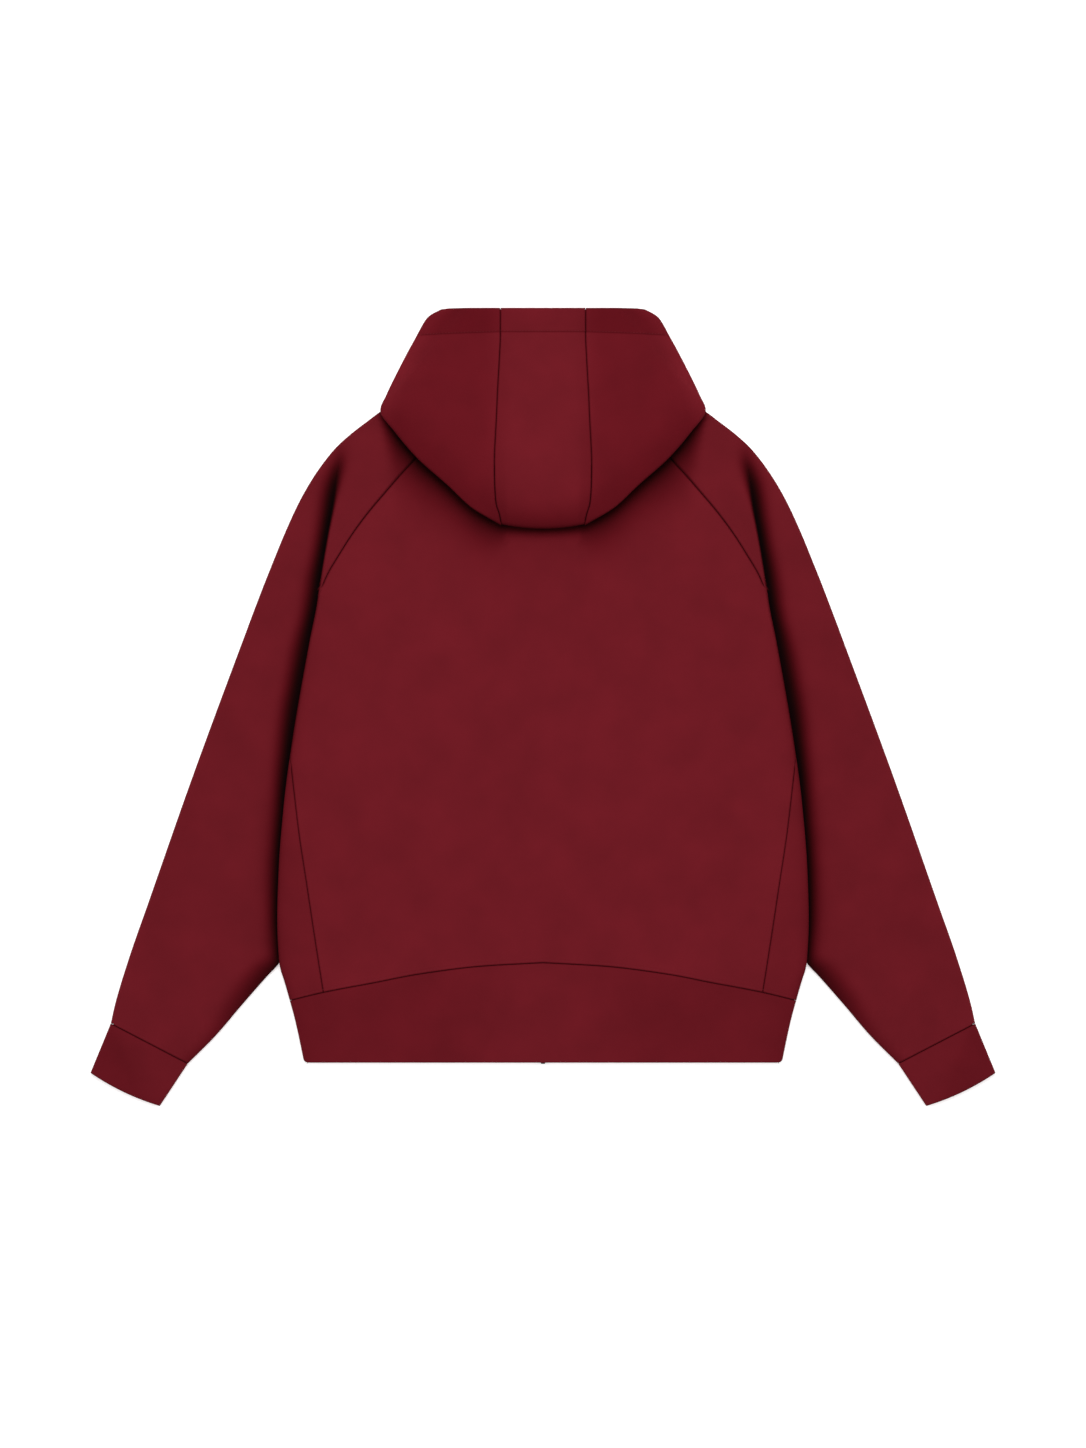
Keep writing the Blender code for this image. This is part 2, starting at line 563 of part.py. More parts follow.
def block(name, corners, finish):
    """A block between the corners that its row gives."""
    width, depth, height = 2 * corners.half_x, corners.y_high - corners.y_low, corners.z_high - corners.z_low
    middle_y = SLIDER_Y + (corners.y_low + corners.y_high) / 2
    middle_z = (corners.z_low + corners.z_high) / 2
    bpy.ops.mesh.primitive_cube_add(size=1.0, location=(0.0, middle_y * MM, middle_z * MM))
    piece = bpy.context.object
    piece.name = piece.data.name = name
    piece.scale = (width * MM, depth * MM, height * MM)
    bpy.ops.object.transform_apply(location=False, rotation=False, scale=True)
    move_to(piece, garment)
    piece.data.materials.append(finish)
    return piece


def move_to(piece, collection):
    for holder in list(piece.users_collection):
        holder.objects.unlink(piece)
    collection.objects.link(piece)


def join_cut(base, tool, operation):
    """Boolean one block with another, which goes with the cutters."""
    change = base.modifiers.new(operation.lower(), "BOOLEAN")
    change.operation = operation
    change.object = tool
    move_to(tool, cutters)
    tool.hide_render = True
    tool.display_type = "WIRE"


def make_slider(finish):
    """Two plates on a post, with the bridge that carries the pull, round the lifted zip."""
    slider = block("zip_slider", SLIDER_FRONT, finish)
    for name, corners in (("post", SLIDER_POST), ("plate", SLIDER_BACK), ("bridge", BRIDGE)):
        join_cut(slider, block(name, corners, finish), "UNION")
    join_cut(slider, block("bridge_gap", BRIDGE_GAP, finish), "DIFFERENCE")


def make_pull(finish):
    """The tab: a plate with an eye whose end bar runs under the slider's bridge."""
    pull = block("zip_pull", PULL_TAB, finish)
    for name, corners in (("eye", PULL_EYE), ("slot", PULL_SLOT)):
        join_cut(pull, block(name, corners, finish), "DIFFERENCE")


for old in list(bpy.data.objects):
    bpy.data.objects.remove(old)
garment = bpy.data.collections.new("zip_up_hoodie")
cutters = bpy.data.collections.new("cutters")
for made in (garment, cutters):
    bpy.context.scene.collection.children.link(made)

scuba = material("scuba", CLOTH_RED, 0.85)
rib = material("rib", CLOTH_RED, 0.85)
tape = material("tape", TAPE_RED, 0.9)
metal = material("metal", METAL, 0.35, 1.0)

make_back(scuba)
make_fronts(scuba)
make_sleeves(scuba)
make_cuffs(rib)
make_waistband(rib)
make_hood(scuba)
make_zip(tape, metal)
make_slider(metal)
make_pull(metal)
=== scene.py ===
"""Zip-up hoodie of smooth double-knit cloth, laid out flat with its back up.

Cut sizes are in millimetres, in the garment's own frame: +X across, +Y to the hood, +Z up.
"""
import math
from bisect import bisect_right
from collections import namedtuple

import bpy
from mathutils import Matrix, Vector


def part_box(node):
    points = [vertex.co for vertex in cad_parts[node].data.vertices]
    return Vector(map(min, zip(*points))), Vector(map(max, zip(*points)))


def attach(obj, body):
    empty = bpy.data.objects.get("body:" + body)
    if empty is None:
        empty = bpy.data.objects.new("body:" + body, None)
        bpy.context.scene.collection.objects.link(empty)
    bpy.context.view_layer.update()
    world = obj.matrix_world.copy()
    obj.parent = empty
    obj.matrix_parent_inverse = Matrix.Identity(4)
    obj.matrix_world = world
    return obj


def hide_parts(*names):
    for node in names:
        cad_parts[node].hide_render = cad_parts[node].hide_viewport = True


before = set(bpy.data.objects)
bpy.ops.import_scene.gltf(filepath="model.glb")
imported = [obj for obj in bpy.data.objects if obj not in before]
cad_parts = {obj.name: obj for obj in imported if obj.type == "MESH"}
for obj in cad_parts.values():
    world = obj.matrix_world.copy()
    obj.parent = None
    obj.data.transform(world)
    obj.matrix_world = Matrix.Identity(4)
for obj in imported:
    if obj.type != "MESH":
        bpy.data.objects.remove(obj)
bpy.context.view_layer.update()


# ---------------------------------------------------------------- back panel
# One piece of smooth scuba, a double-knit cloth. Its side edges curve over the sleeves in a soft
# roll, and it is joined to the raglan sleeves, the wrapped side panels and the waistband.

MM = 0.001
CLOTH = 2.0               # wall of the double-knit cloth
GAP = 0.3                 # clearance at every seam
LAID = 7.4                # height of two layers lying on each other
ROLL_R = 4.0              # rounding of the body's raised edge, seen from above
ROLL_TURN = 6.4           # length of cloth from the top of that edge to its side
RISE_REACH = 75.0         # how far inside the edge the body starts to rise
RISE_RUN = 50.0           # width of that rise
UNDERARM_Y = -41.0
SIDE_SEAM_TOP_Y = -66.0
RAGLAN_FOLD_Y = 136.0     # where the raglan seam reaches the armhole fold
SLIDER_Y = 262.0
SLIDER_SPREAD = 45.0      # how far round the zip slider the layers over it are lifted
BACK_LIFT = 5.4
SEAM_ROLL, SEAM_DROP = 1.5, 0.9     # the cloth rolls down into a seam
ALLOWANCE, ALLOWANCE_RISE = 7.0, 0.25   # the seam allowance under it shows as a low band
TOPSTITCH_IN, TOPSTITCH_SINK = 3.2, 0.3

Section = namedtuple("Section", "y edge_x ridge_z under_z valley_z")
SECTIONS = [
    Section(-394, 265.0, 7.4, 0.0, 7.4),
    Section(-347, 275.3, 7.4, 0.0, 7.4),
    Section(-325, 281.0, 7.4, 0.0, 7.2),
    Section(-304, 286.8, 10.4, 4.0, 6.4),
    Section(-285, 292.2, 12.6, 7.3, 5.2),
    Section(-236, 294.7, 12.6, 7.3, 5.0),
    Section(-178, 293.0, 12.6, 7.3, 5.0),
    Section(-110, 287.6, 12.6, 7.3, 5.0),
    Section(-78, 284.0, 11.9, 4.6, 5.0),
    Section(-41, 278.7, 10.8, 0.0, 5.0),
    Section(-14, 274.5, 10.6, 0.0, 5.0),
    Section(75, 258.6, 10.5, 0.0, 5.0),
    Section(114, 250.8, 10.5, 0.0, 5.0),
    Section(142, 247.0, 10.5, 0.0, 5.0),
    Section(186, 240.0, 10.4, 0.0, 5.0),
    Section(226, 233.0, 9.8, 0.0, 5.4),
    Section(255, 229.5, 8.4, 0.0, 6.5),
    Section(278, 225.0, 7.4, 0.0, 7.4),
]
Curve = namedtuple("Curve", "at value")
HEM_SEAM = [Curve(0, -283), Curve(69, -287), Curve(139.5, -296), Curve(186, -305),
            Curve(244, -316), Curve(281, -325)]
BACK_SEAM = [Curve(-316, 243.6), Curve(-250, 253.7), Curve(-195, 262.0), Curve(-141, 270.2),
             Curve(-96, 275.6), Curve(-66, 279.0)]
RAGLAN_SEAM = [Curve(136, 244.0), Curve(149, 238.0), Curve(169, 226.0), Curve(191, 212.0),
               Curve(215, 194.3), Curve(237, 175.8), Curve(259, 156.7), Curve(276, 140.8),
               Curve(308, 112.0), Curve(349, 82.0)]
BACK_NECK = [Curve(0, 342.0), Curve(82, 349.0)]
HEM_FOLLOW_Y, HEM_FOLLOW_RUN = -190.0, 93.0   # rows bend to the waist seam below this, over this run
NECK_FOLLOW_RUN = 90.0    # rows bend to the neck over this run
SIDE_X = 250.0            # roughly where the side seam comes up to a row
# Seam creases get painted shade: a narrow dark band along each seam.
SEAM_SHADE_DEPTH, SEAM_SHADE_WIDTH = 0.38, 0.95   # how dark and how wide a seam's crease is
RAGLAN_SLANT = 0.75       # how much of a step across is away from the slanted raglan seam
SCUBA_RED = (0.150, 0.0092, 0.0155, 1.0)


def read(table, at, column=None):
    """A column's value at a place between rows, on a smooth curve that never overshoots them."""
    column = column or table[0]._fields[1]
    keys = [row[0] for row in table]
    values = [getattr(row, column) for row in table]
    if at <= keys[0]:
        return values[0]
    if at >= keys[-1]:
        return values[-1]
    steps = [b - a for a, b in zip(keys, keys[1:])]
    slopes = [(b - a) / step for a, b, step in zip(values, values[1:], steps)]

    def tangent(i):
        if i == 0 or i == len(slopes):
            return slopes[min(i, len(slopes) - 1)]
        before, after = slopes[i - 1], slopes[i]
        return 0.0 if before * after <= 0 else 2.0 * before * after / (before + after)

    i = bisect_right(keys, at) - 1
    t = (at - keys[i]) / steps[i]
    rise = values[i + 1] - values[i]
    start, end = tangent(i) * steps[i], tangent(i + 1) * steps[i]
    return values[i] + t * start + t * t * (3 * rise - 2 * start - end) + t ** 3 * (start + end - 2 * rise)


def smooth(t):
    t = min(max(t, 0.0), 1.0)
    return t * t * (3.0 - 2.0 * t)


def mix(a, b, t):
    return a + (b - a) * t


def section(y, column):
    return read(SECTIONS, y, column)


def lift(x, y):
    """How far the layers rise over the slider, as a share of the most."""
    return math.exp(-(x * x + (y - SLIDER_Y) ** 2) / (2.0 * SLIDER_SPREAD ** 2))


def top_z(x, y):
    """Outer height of the upper layer inside the body's edge."""
    rise = smooth((x - section(y, "edge_x") + RISE_REACH) / RISE_RUN)
    return LAID + BACK_LIFT * lift(x, y) + (section(y, "ridge_z") - LAID) * rise


def body_y(row_y, x, neck=None):
    """Height up the body of a row at x: it follows the waistband seam low down, the neck high up."""
    low = smooth((HEM_FOLLOW_Y - row_y) / HEM_FOLLOW_RUN)
    y = row_y + low * (read(HEM_SEAM, x) - HEM_SEAM[0].value)
    if neck:
        high = smooth((row_y - neck[0].value + NECK_FOLLOW_RUN) / NECK_FOLLOW_RUN)
        y += high * (read(neck, x) - neck[0].value)
    return y


def seam_relief(away, stitched=False):
    """Height that a seam adds to the cloth at a distance from it, in millimetres."""
    height = -SEAM_DROP * max(0.0, 1.0 - away / SEAM_ROLL) ** 2
    if stitched:
        height += ALLOWANCE_RISE * smooth((ALLOWANCE - away) / 2.0) * smooth(away / SEAM_ROLL)
        height -= TOPSTITCH_SINK * math.exp(-((away - TOPSTITCH_IN) / 0.6) ** 2)
    return height


def seam_shade(away):
    """Painted shade in the crease of a seam: how dark a point's colour is made, at a distance from it."""
    return SEAM_SHADE_DEPTH * math.exp(-(max(away, 0.0) / SEAM_SHADE_WIDTH) ** 2)


def close_rows(start, end, step, finest=0.35, grow=1.3):
    """Stops from start to end, close together at both ends and no further apart than step."""
    ends = []
    total, gap = 0.0, finest
    while gap < step and total < abs(end - start) / 3:
        total += gap
        ends.append(total)
        gap *= grow
    sign = 1.0 if end > start else -1.0
    low, high = start + sign * total, end - sign * total
    count = max(1, round(abs(high - low) / step))
    middle = [mix(low, high, i / count) for i in range(count + 1)]
    return ([start] + [start + sign * d for d in ends[:-1]] + middle
            + [end - sign * d for d in reversed(ends[:-1])] + [end])


def press(columns, start, end, step=0.12):
    """Keep columns between two seams, pressed against them a small step apart."""
    last = len(columns) - 1
    low = [max(c, start + step * i) for i, c in enumerate(columns)]
    return [min(c, end - step * (last - i)) for i, c in enumerate(low)]


def cloth(name, rows, wall, side=1, ring=False, grain=0):
    """A wall of cloth under the surface through rows of points, with its cut laid out as its UV map.

    The grain column is the one along which the cut is straight.
    """
    mesh = bpy.data.meshes.new(name)
    count = len(rows[0])
    across_count = count if ring else count - 1
    points = [(side * x * MM, y * MM, z * MM) for row in rows for x, y, z in row]
    quads = [(r * count + i, r * count + (i + 1) % count,
              (r + 1) * count + (i + 1) % count, (r + 1) * count + i)
             for r in range(len(rows) - 1) for i in range(across_count)]
    mesh.from_pydata(points, [], quads)
    down = [0.0]
    for upper, lower in zip(rows, rows[1:]):
        down.append(down[-1] + math.dist(upper[grain], lower[grain]) * MM)
    layer = mesh.uv_layers.new(name="cut")
    for r, (upper, lower) in enumerate(zip(rows, rows[1:])):
        spots = []
        for row in (upper, lower):
            reach = [0.0]
            for i in range(across_count):
                reach.append(reach[-1] + math.dist(row[i], row[(i + 1) % count]) * MM)
            spots.append([s - reach[grain] for s in reach])
        for i in range(across_count):
            corner = mesh.polygons[r * across_count + i].loop_start
            layer.data[corner].uv = (spots[0][i], down[r])
            layer.data[corner + 1].uv = (spots[0][i + 1], down[r])
            layer.data[corner + 2].uv = (spots[1][i + 1], down[r + 1])
            layer.data[corner + 3].uv = (spots[1][i], down[r + 1])
    highest = max(mesh.polygons, key=lambda face: face.center.z)
    if highest.normal.z < 0:
        mesh.flip_normals()
    mesh.shade_smooth()
    piece = bpy.data.objects.new(name, mesh)
    bpy.context.scene.collection.objects.link(piece)
    solidify = piece.modifiers.new("wall", "SOLIDIFY")
    solidify.thickness = wall * MM
    solidify.offset = -1.0
    apply_all(piece)
    return piece


def apply_all(piece):
    """Apply a piece's modifiers in their order."""
    bpy.ops.object.select_all(action="DESELECT")
    bpy.context.view_layer.objects.active = piece
    piece.select_set(True)
    for change in list(piece.modifiers):
        bpy.ops.object.modifier_apply(modifier=change.name)
    piece.select_set(False)


def paint_shade(piece, *painted_shades):
    """Paint shade into a piece: give each point how dark its painted shade is, from 0 in the open to 1."""
    # The fold attribute holds this painted shade; the cloth's material darkens its colour by it.
    layer = piece.data.attributes.new("fold", "FLOAT", "POINT")
    values = []
    for v in piece.data.vertices:
        open_share = 1.0
        for depth in painted_shades:
            open_share *= 1.0 - depth(abs(v.co.x) / MM, v.co.y / MM, v.co.z / MM)
        values.append(1.0 - open_share)
    layer.data.foreach_set("value", values)


# Painted shade: what is left of the cloth's colour from the open to the bottom of a fold.
PAINTED_SHADE_TINTS = [(0.0, (1.0, 1.0, 1.0, 1.0)), (0.3, (0.70, 0.47, 0.56, 1.0)), (0.6, (0.40, 0.17, 0.25, 1.0)),
              (0.85, (0.15, 0.04, 0.06, 1.0)), (1.0, (0.008, 0.003, 0.004, 1.0))]


def tinted(colour, factor):
    """A colour made darker or lighter by a factor."""
    return [c * factor for c in colour[:3]] + [1.0]


def feed(tree, node, inputs):
    """Set a node's inputs: a socket is linked to them, and anything else is their value."""
    for name, value in inputs.items():
        if isinstance(value, bpy.types.NodeSocket):
            tree.links.new(value, node.inputs[name])
        else:
            node.inputs[name].default_value = value
    return node


def add_node(tree, kind, inputs=(), **settings):
    """A new shader node, given its settings and then its inputs."""
    node = tree.nodes.new(f"ShaderNode{kind}")
    for name, value in settings.items():
        setattr(node, name, value)
    return feed(tree, node, dict(inputs))


def ramp(tree, factor, stops):
    """A colour that follows a factor through stops, each a position and a colour."""
    node = add_node(tree, "ValToRGB", {"Fac": factor})
    elements = node.color_ramp.elements
    for element, (position, colour) in zip(elements, (stops[0], stops[-1])):
        element.position, element.color = position, colour
    for position, colour in stops[1:-1]:
        elements.new(position).color = colour
    return node.outputs["Color"]


def start_material(name, inputs):
    """A material with its shader's plain inputs set, and its node tree and shader."""
    made = bpy.data.materials.new(name)
    made.use_nodes = True
    shader = made.node_tree.nodes["Principled BSDF"]
    return made, made.node_tree, feed(made.node_tree, shader, inputs)


def scuba(name, red):
    """Smooth double-knit cloth: fine wales, a soft nap, and a colour that clouds a little.

    The fold attribute holds painted shade: it deepens the red where little light reaches into a fold.
    """
    made, tree, shader = start_material(name, {
        "Roughness": 0.88, "Specular IOR Level": 0.05, "Sheen Weight": 0.02,
        "Sheen Roughness": 0.5, "Sheen Tint": (0.9, 0.12, 0.18, 1.0)})
    place = add_node(tree, "TexCoord")
    clouds = add_node(tree, "TexNoise", {"Vector": place.outputs["Object"], "Scale": 22.0, "Detail": 4.0})
    tint = ramp(tree, clouds.outputs["Fac"], [(0.3, tinted(red, 0.93)), (0.7, tinted(red, 1.07))])
    # Painted shade: the fold attribute darkens the cloth's red through the shade tints.
    fold = add_node(tree, "Attribute", attribute_name="fold")
    depth = ramp(tree, fold.outputs["Fac"], PAINTED_SHADE_TINTS)
    shade = add_node(tree, "Mix", data_type="RGBA", blend_type="MULTIPLY")
    feed(tree, shade, {"Factor": 1.0, "A": tint, "B": depth})
    cut = add_node(tree, "UVMap", uv_map="cut")
    stretch = add_node(tree, "Mapping", {"Vector": cut.outputs["UV"], "Scale": (1500.0, 900.0, 1.0)})
    wales = add_node(tree, "TexNoise", {"Vector": stretch.outputs["Vector"], "Scale": 1.0, "Detail": 2.0})
    bump = add_node(tree, "Bump", {"Height": wales.outputs["Fac"], "Strength": 0.35, "Distance": 0.0002})
    feed(tree, shader, {"Base Color": shade.outputs["Result"], "Normal": bump.outputs["Normal"]})
    return made


def finish_cloth(piece, node, finish):
    """Give a cloth piece its finish and put it on the garment, in place of its plain solid."""
    piece.data.materials.append(finish)
    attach(piece, "garment")
    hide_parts(node)


def allowance(name, centre, finish, half=6.0, wall=0.9, depth=0.7):
    """The pressed seam allowance under a seam: a narrow strip inside the cloth, along centre points, painted
    evenly dark as the shade in the seam's gap.
    """
    rows = []
    for i, (x, y, z) in enumerate(centre):
        before, after = centre[max(i - 1, 0)], centre[min(i + 1, len(centre) - 1)]
        run = math.dist(before[:2], after[:2])
        across = ((after[1] - before[1]) / run, (before[0] - after[0]) / run)
        rows.append([(x + across[0] * d, y + across[1] * d, z)
                     for d in (-half, -half / 2, 0, half / 2, half)])
    strip = cloth(name, rows, wall)
    # Painted shade: the whole strip is darkened by depth.
    paint_shade(strip, lambda x, y, z: depth)
    strip.data.materials.append(finish)
    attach(strip, "garment")
    return strip


def seam_end(y):
    """How far round the body, from centre back, its back panel reaches at a height."""
    side = section(y, "edge_x") - ROLL_R + ROLL_TURN
    if y > RAGLAN_FOLD_Y:
        return read(RAGLAN_SEAM, y)
    if y < SIDE_SEAM_TOP_Y:
        return read(BACK_SEAM, y)
    turned = mix(BACK_SEAM[-1].value, side + 1.0, smooth((y - SIDE_SEAM_TOP_Y) / 25.0))
    return mix(turned, RAGLAN_SEAM[0].value, smooth((y - RAGLAN_FOLD_Y + 6.0) / 6.0))


def roll_point(s, row_y, neck):
    """A point of the upper layer, s along it from centre back and over the edge's roll."""
    edge_y = body_y(row_y, section(row_y, "edge_x"), neck)
    flat = section(edge_y, "edge_x") - ROLL_R
    angle = min(max(s - flat, 0.0) / ROLL_TURN, 1.0) * math.pi / 2
    x = min(s, flat) + ROLL_R * math.sin(angle)
    y = body_y(row_y, x, neck)
    if angle == 0:
        return x, y, top_z(x, y)
    low = section(y, "valley_z")
    if y < UNDERARM_Y:
        low = (section(y, "ridge_z") + section(y, "under_z")) / 2.0
    return x, y, mix(low, section(y, "ridge_z"), math.cos(angle)) - max(s - flat - ROLL_TURN, 0.0)


def back_row(row_y):
    """Centre back to side or raglan seam, close together at the seam."""
    end = seam_end(body_y(row_y, SIDE_X))
    if row_y > RAGLAN_FOLD_Y:
        end = seam_end(body_y(row_y, seam_end(row_y), BACK_NECK))
    columns, crowding = 72, 1.75
    points = []
    for i in range(columns + 1):
        s = end * (1.0 - (1.0 - i / columns) ** crowding)
        x, y, z = roll_point(s, row_y, BACK_NECK)
        away = (end - s) * (RAGLAN_SLANT if row_y > RAGLAN_FOLD_Y else 1.0)
        side_seam = y < SIDE_SEAM_TOP_Y - 5.0
        z += seam_relief(away, side_seam) + seam_relief(y - read(HEM_SEAM, x), True)
        points.append((x, y, z))
    return points


# The hood's lower edge, with the width and darkness of the shadow painted on the cloth below it.
HoodEdge = namedtuple("HoodEdge", "x y shadow depth")
HOOD_EDGE = [
    HoodEdge(0, 198.2, 8.3, 0.92), HoodEdge(30, 199.6, 9.0, 0.92), HoodEdge(42, 201.5, 11.0, 0.93),
    HoodEdge(52, 205.5, 16.0, 0.93), HoodEdge(75, 220.0, 22.0, 0.93), HoodEdge(103, 245.0, 22.0, 0.95),
    HoodEdge(140, 277.0, 25.0, 0.96), HoodEdge(159, 299.0, 26.0, 0.97), HoodEdge(172, 317.0, 17.0, 0.92),
    HoodEdge(181, 330.0, 7.0, 0.6), HoodEdge(190, 345.0, 3.0, 0.0),
]
HOOD_SLANT = 0.75         # how much of a step up or down is away from the hood's slanted edge


def under_hood_shadow(x, y, z):
    """How dark the shadow painted under the hood's lower edge is at a point."""
    if z < LAID / 3:
        return 0.0
    away = (read(HOOD_EDGE, x, "y") - y) * (1.0 if x < 40 else HOOD_SLANT)
    if away < 0:
        return read(HOOD_EDGE, x, "depth")
    far = 0.2 * (1.0 - smooth((x - 40.0) / 60.0)) * math.exp(-away / 38.0)
    return max(far, read(HOOD_EDGE, x, "depth") * math.exp(-(away / read(HOOD_EDGE, x, "shadow")) ** 1.25))


def rolled_edge_shade(x, y, z):
    """Painted shade where the body's rolled side edge turns away from the light."""
    inside = max(section(y, "edge_x") - x, 0.0)
    return mix(0.3, 0.08, smooth(y / 110.0)) * smooth((236.0 - y) / 50.0) * math.exp(-inside / 5.0)


# Painted shade in the crease of the back panel's side, raglan and waist seams.
def back_seam_shade(x, y, z):
    away = y - read(HEM_SEAM, x)
    if y < SIDE_SEAM_TOP_Y:
        away = min(away, read(BACK_SEAM, y) - x)
    elif y > RAGLAN_FOLD_Y:
        away = (read(RAGLAN_SEAM, y) - x) * RAGLAN_SLANT
    return seam_shade(away)


def back_shade(x, y, z):
    """Painted shade: the hood's shadow on the panel's outer face, and an even painted dimness on its inner
    one.
    """
    return under_hood_shadow(x, y, z) if z > top_z(x, y) - 1.4 else 0.15


back_rows = []
for row_y in close_rows(-283.0, 342.0, 5.0):
    half = back_row(row_y)
    back_rows.append([(-x, y, z) for x, y, z in reversed(half[1:])] + half)
back = cloth("back_panel_cloth", back_rows, CLOTH, grain=len(back_rows[0]) // 2)
paint_shade(back, back_shade, rolled_edge_shade, back_seam_shade)
body_cloth = scuba("body_scuba", SCUBA_RED)
finish_cloth(back, "back_panel", body_cloth)


# ---------------------------------------------------------------- front panels
# Two mirrored fronts of the same cloth. Each is cut wide enough to wrap round the side, so its
# seam with the back lies on the back itself, and its centre edge is sewn to one zip tape.

SIDES = (("right", 1), ("left", -1))
ZIP_HALF = 6.5            # centre-front edge of each front, from the middle of the zip
FRONT_LIFT = 4.0
FRONT_RAGLAN = [Curve(-41, 278.7), Curve(40, 236.0), Curve(120, 192.0), Curve(200, 149.0),
                Curve(260, 114.0), Curve(308, 80.0)]
FRONT_NECK = [Curve(0, 275.0), Curve(40, 281.0), Curve(80, 308.0)]


def under_z(x, y):
    """Outer height of the front panel, lifted where the sleeve is tucked under the body's edge."""
    rise = smooth((x - section(y, "edge_x") + RISE_REACH) / (RISE_RUN - 3.0))
    return FRONT_LIFT * lift(x, y) + section(y, "under_z") * rise


def wrapped_point(s, row_y, flat):
    """A point of the body's tube, s along it: out on the under side, round the edge, back on top."""
    if s <= flat:
        y = body_y(row_y, s, FRONT_NECK)
        return s, y, under_z(s, y)
    if s < flat + 2 * ROLL_TURN:
        angle = (s - flat) / ROLL_TURN * math.pi / 2
        x = flat + ROLL_R * math.sin(angle)
        y = body_y(row_y, x, FRONT_NECK)
        ridge, under = section(y, "ridge_z"), section(y, "under_z")
        return x, y, (ridge + under - (ridge - under) * math.cos(angle)) / 2.0
    x = 2 * (flat + ROLL_TURN) - s
    y = body_y(row_y, x, FRONT_NECK)
    return x, y, top_z(x, y)


def front_row(row_y):
    """Centre front to side seam: under side, body edge, and the strip that shows on the back."""
    edge_y = body_y(row_y, section(row_y, "edge_x"))
    flat = section(edge_y, "edge_x") - ROLL_R
    if edge_y > UNDERARM_Y:
        end = read(FRONT_RAGLAN, body_y(row_y, read(FRONT_RAGLAN, row_y), FRONT_NECK)) - GAP
    else:
        end = 2 * (flat + ROLL_TURN) - seam_end(body_y(row_y, SIDE_X)) - GAP
    strip = max(end - flat - 2 * ROLL_TURN, 0.0)
    wanted = [mix(ZIP_HALF, flat, i / 42) for i in range(42)]
    wanted += [flat + 2 * ROLL_TURN * i / 16 for i in range(16)]
    wanted += [flat + 2 * ROLL_TURN + strip * (1.0 - (1.0 - i / 16) ** 1.6) for i in range(17)]
    points = []
    for s in press(wanted, ZIP_HALF, end):
        x, y, z = wrapped_point(s, row_y, flat)
        if s > flat + ROLL_TURN:
            z += seam_relief(end - s) + seam_relief(y - read(HEM_SEAM, x), True)
        points.append((x, y, z))
    return points


def strip_shade(x, y, z):
    """Painted shade on the strip of the fronts on the back: a little all over, as it lies low, and more deep
    in its seams.
    """
    if z < top_z(x, y) - CLOTH - 0.8 or y > SIDE_SEAM_TOP_Y:
        return 0.0
    return max(0.06, seam_shade(min(x - read(BACK_SEAM, y), y - read(HEM_SEAM, x))))


front_rows = [front_row(row_y) for row_y in close_rows(-283.0, 275.0, 5.0)]
for side_name, side in SIDES:
    front = cloth(f"front_{side_name}_cloth", front_rows, CLOTH, side)
    paint_shade(front, rolled_edge_shade, strip_shade)
    finish_cloth(front, f"front_{side_name}", body_cloth)


# ---------------------------------------------------------------- waistband
# A folded band of the same cloth, shaped deeper at centre back than at the sides. It runs from
# one side of the zip round the back to the other, and its fold is the garment's lower edge.

RIB = 2.5                 # wall of the folded waistband and cuffs
EDGE_R = 3.7              # rounding of a laid tube's edge
HEM_BOTTOM_Y = -394.0
INSIDE = 2.3              # how far an allowance lies below the cloth's outer surface
HEM_CORNER = 4.0          # rounding of the band's lower corners, seen from above
FOLD_ROLL = 2.6           # how far in from a folded edge the cloth rolls over


def fold_relief(away):
    """Height that a folded edge takes off the cloth at a distance from it, in millimetres."""
    return -1.3 * max(0.0, 1.0 - away / FOLD_ROLL) ** 2


def band_row(share):
    """One turn of the band, from centre front round the side to centre back."""
    edge_y = mix(HEM_SEAM[-1].value - GAP, HEM_BOTTOM_Y, share)
    inside = max(0.0, 1.0 - (edge_y - HEM_BOTTOM_Y) / HEM_CORNER)
    corner = HEM_CORNER * (1.0 - math.sqrt(1.0 - inside * inside))
    flat = section(edge_y, "edge_x") - EDGE_R - corner

    def place(x, z):
        y = mix(read(HEM_SEAM, x) - GAP, HEM_BOTTOM_Y, share)
        if z > EDGE_R:
            z += seam_relief(read(HEM_SEAM, x) - GAP - y) + fold_relief(y - HEM_BOTTOM_Y)
        return x, y, z

    half = [place(mix(ZIP_HALF, flat, i / 44), 0.0) for i in range(45)]
    for i in range(1, 12):
        angle = math.pi * i / 12
        half.append(place(flat + EDGE_R * math.sin(angle), EDGE_R * (1 - math.cos(angle))))
    return half + [place(mix(flat, 0.0, i / 52), LAID) for i in range(53)]


def band_side_shade(x, y, z):
    """Painted shade on the band: a little all over, more towards its sides, and most where it turns away
    from the light near its side edge.
    """
    inside = max(section(y, "edge_x") - x, 0.0)
    return 0.03 + 0.1 * smooth((x - 10.0) / 130.0) + 0.1 * math.exp(-inside / 16.0)


# Painted shade in the crease of the waist seam, on the band's upper side.
def band_seam_shade(x, y, z):
    return seam_shade(read(HEM_SEAM, x) - y) if z > EDGE_R else 0.0


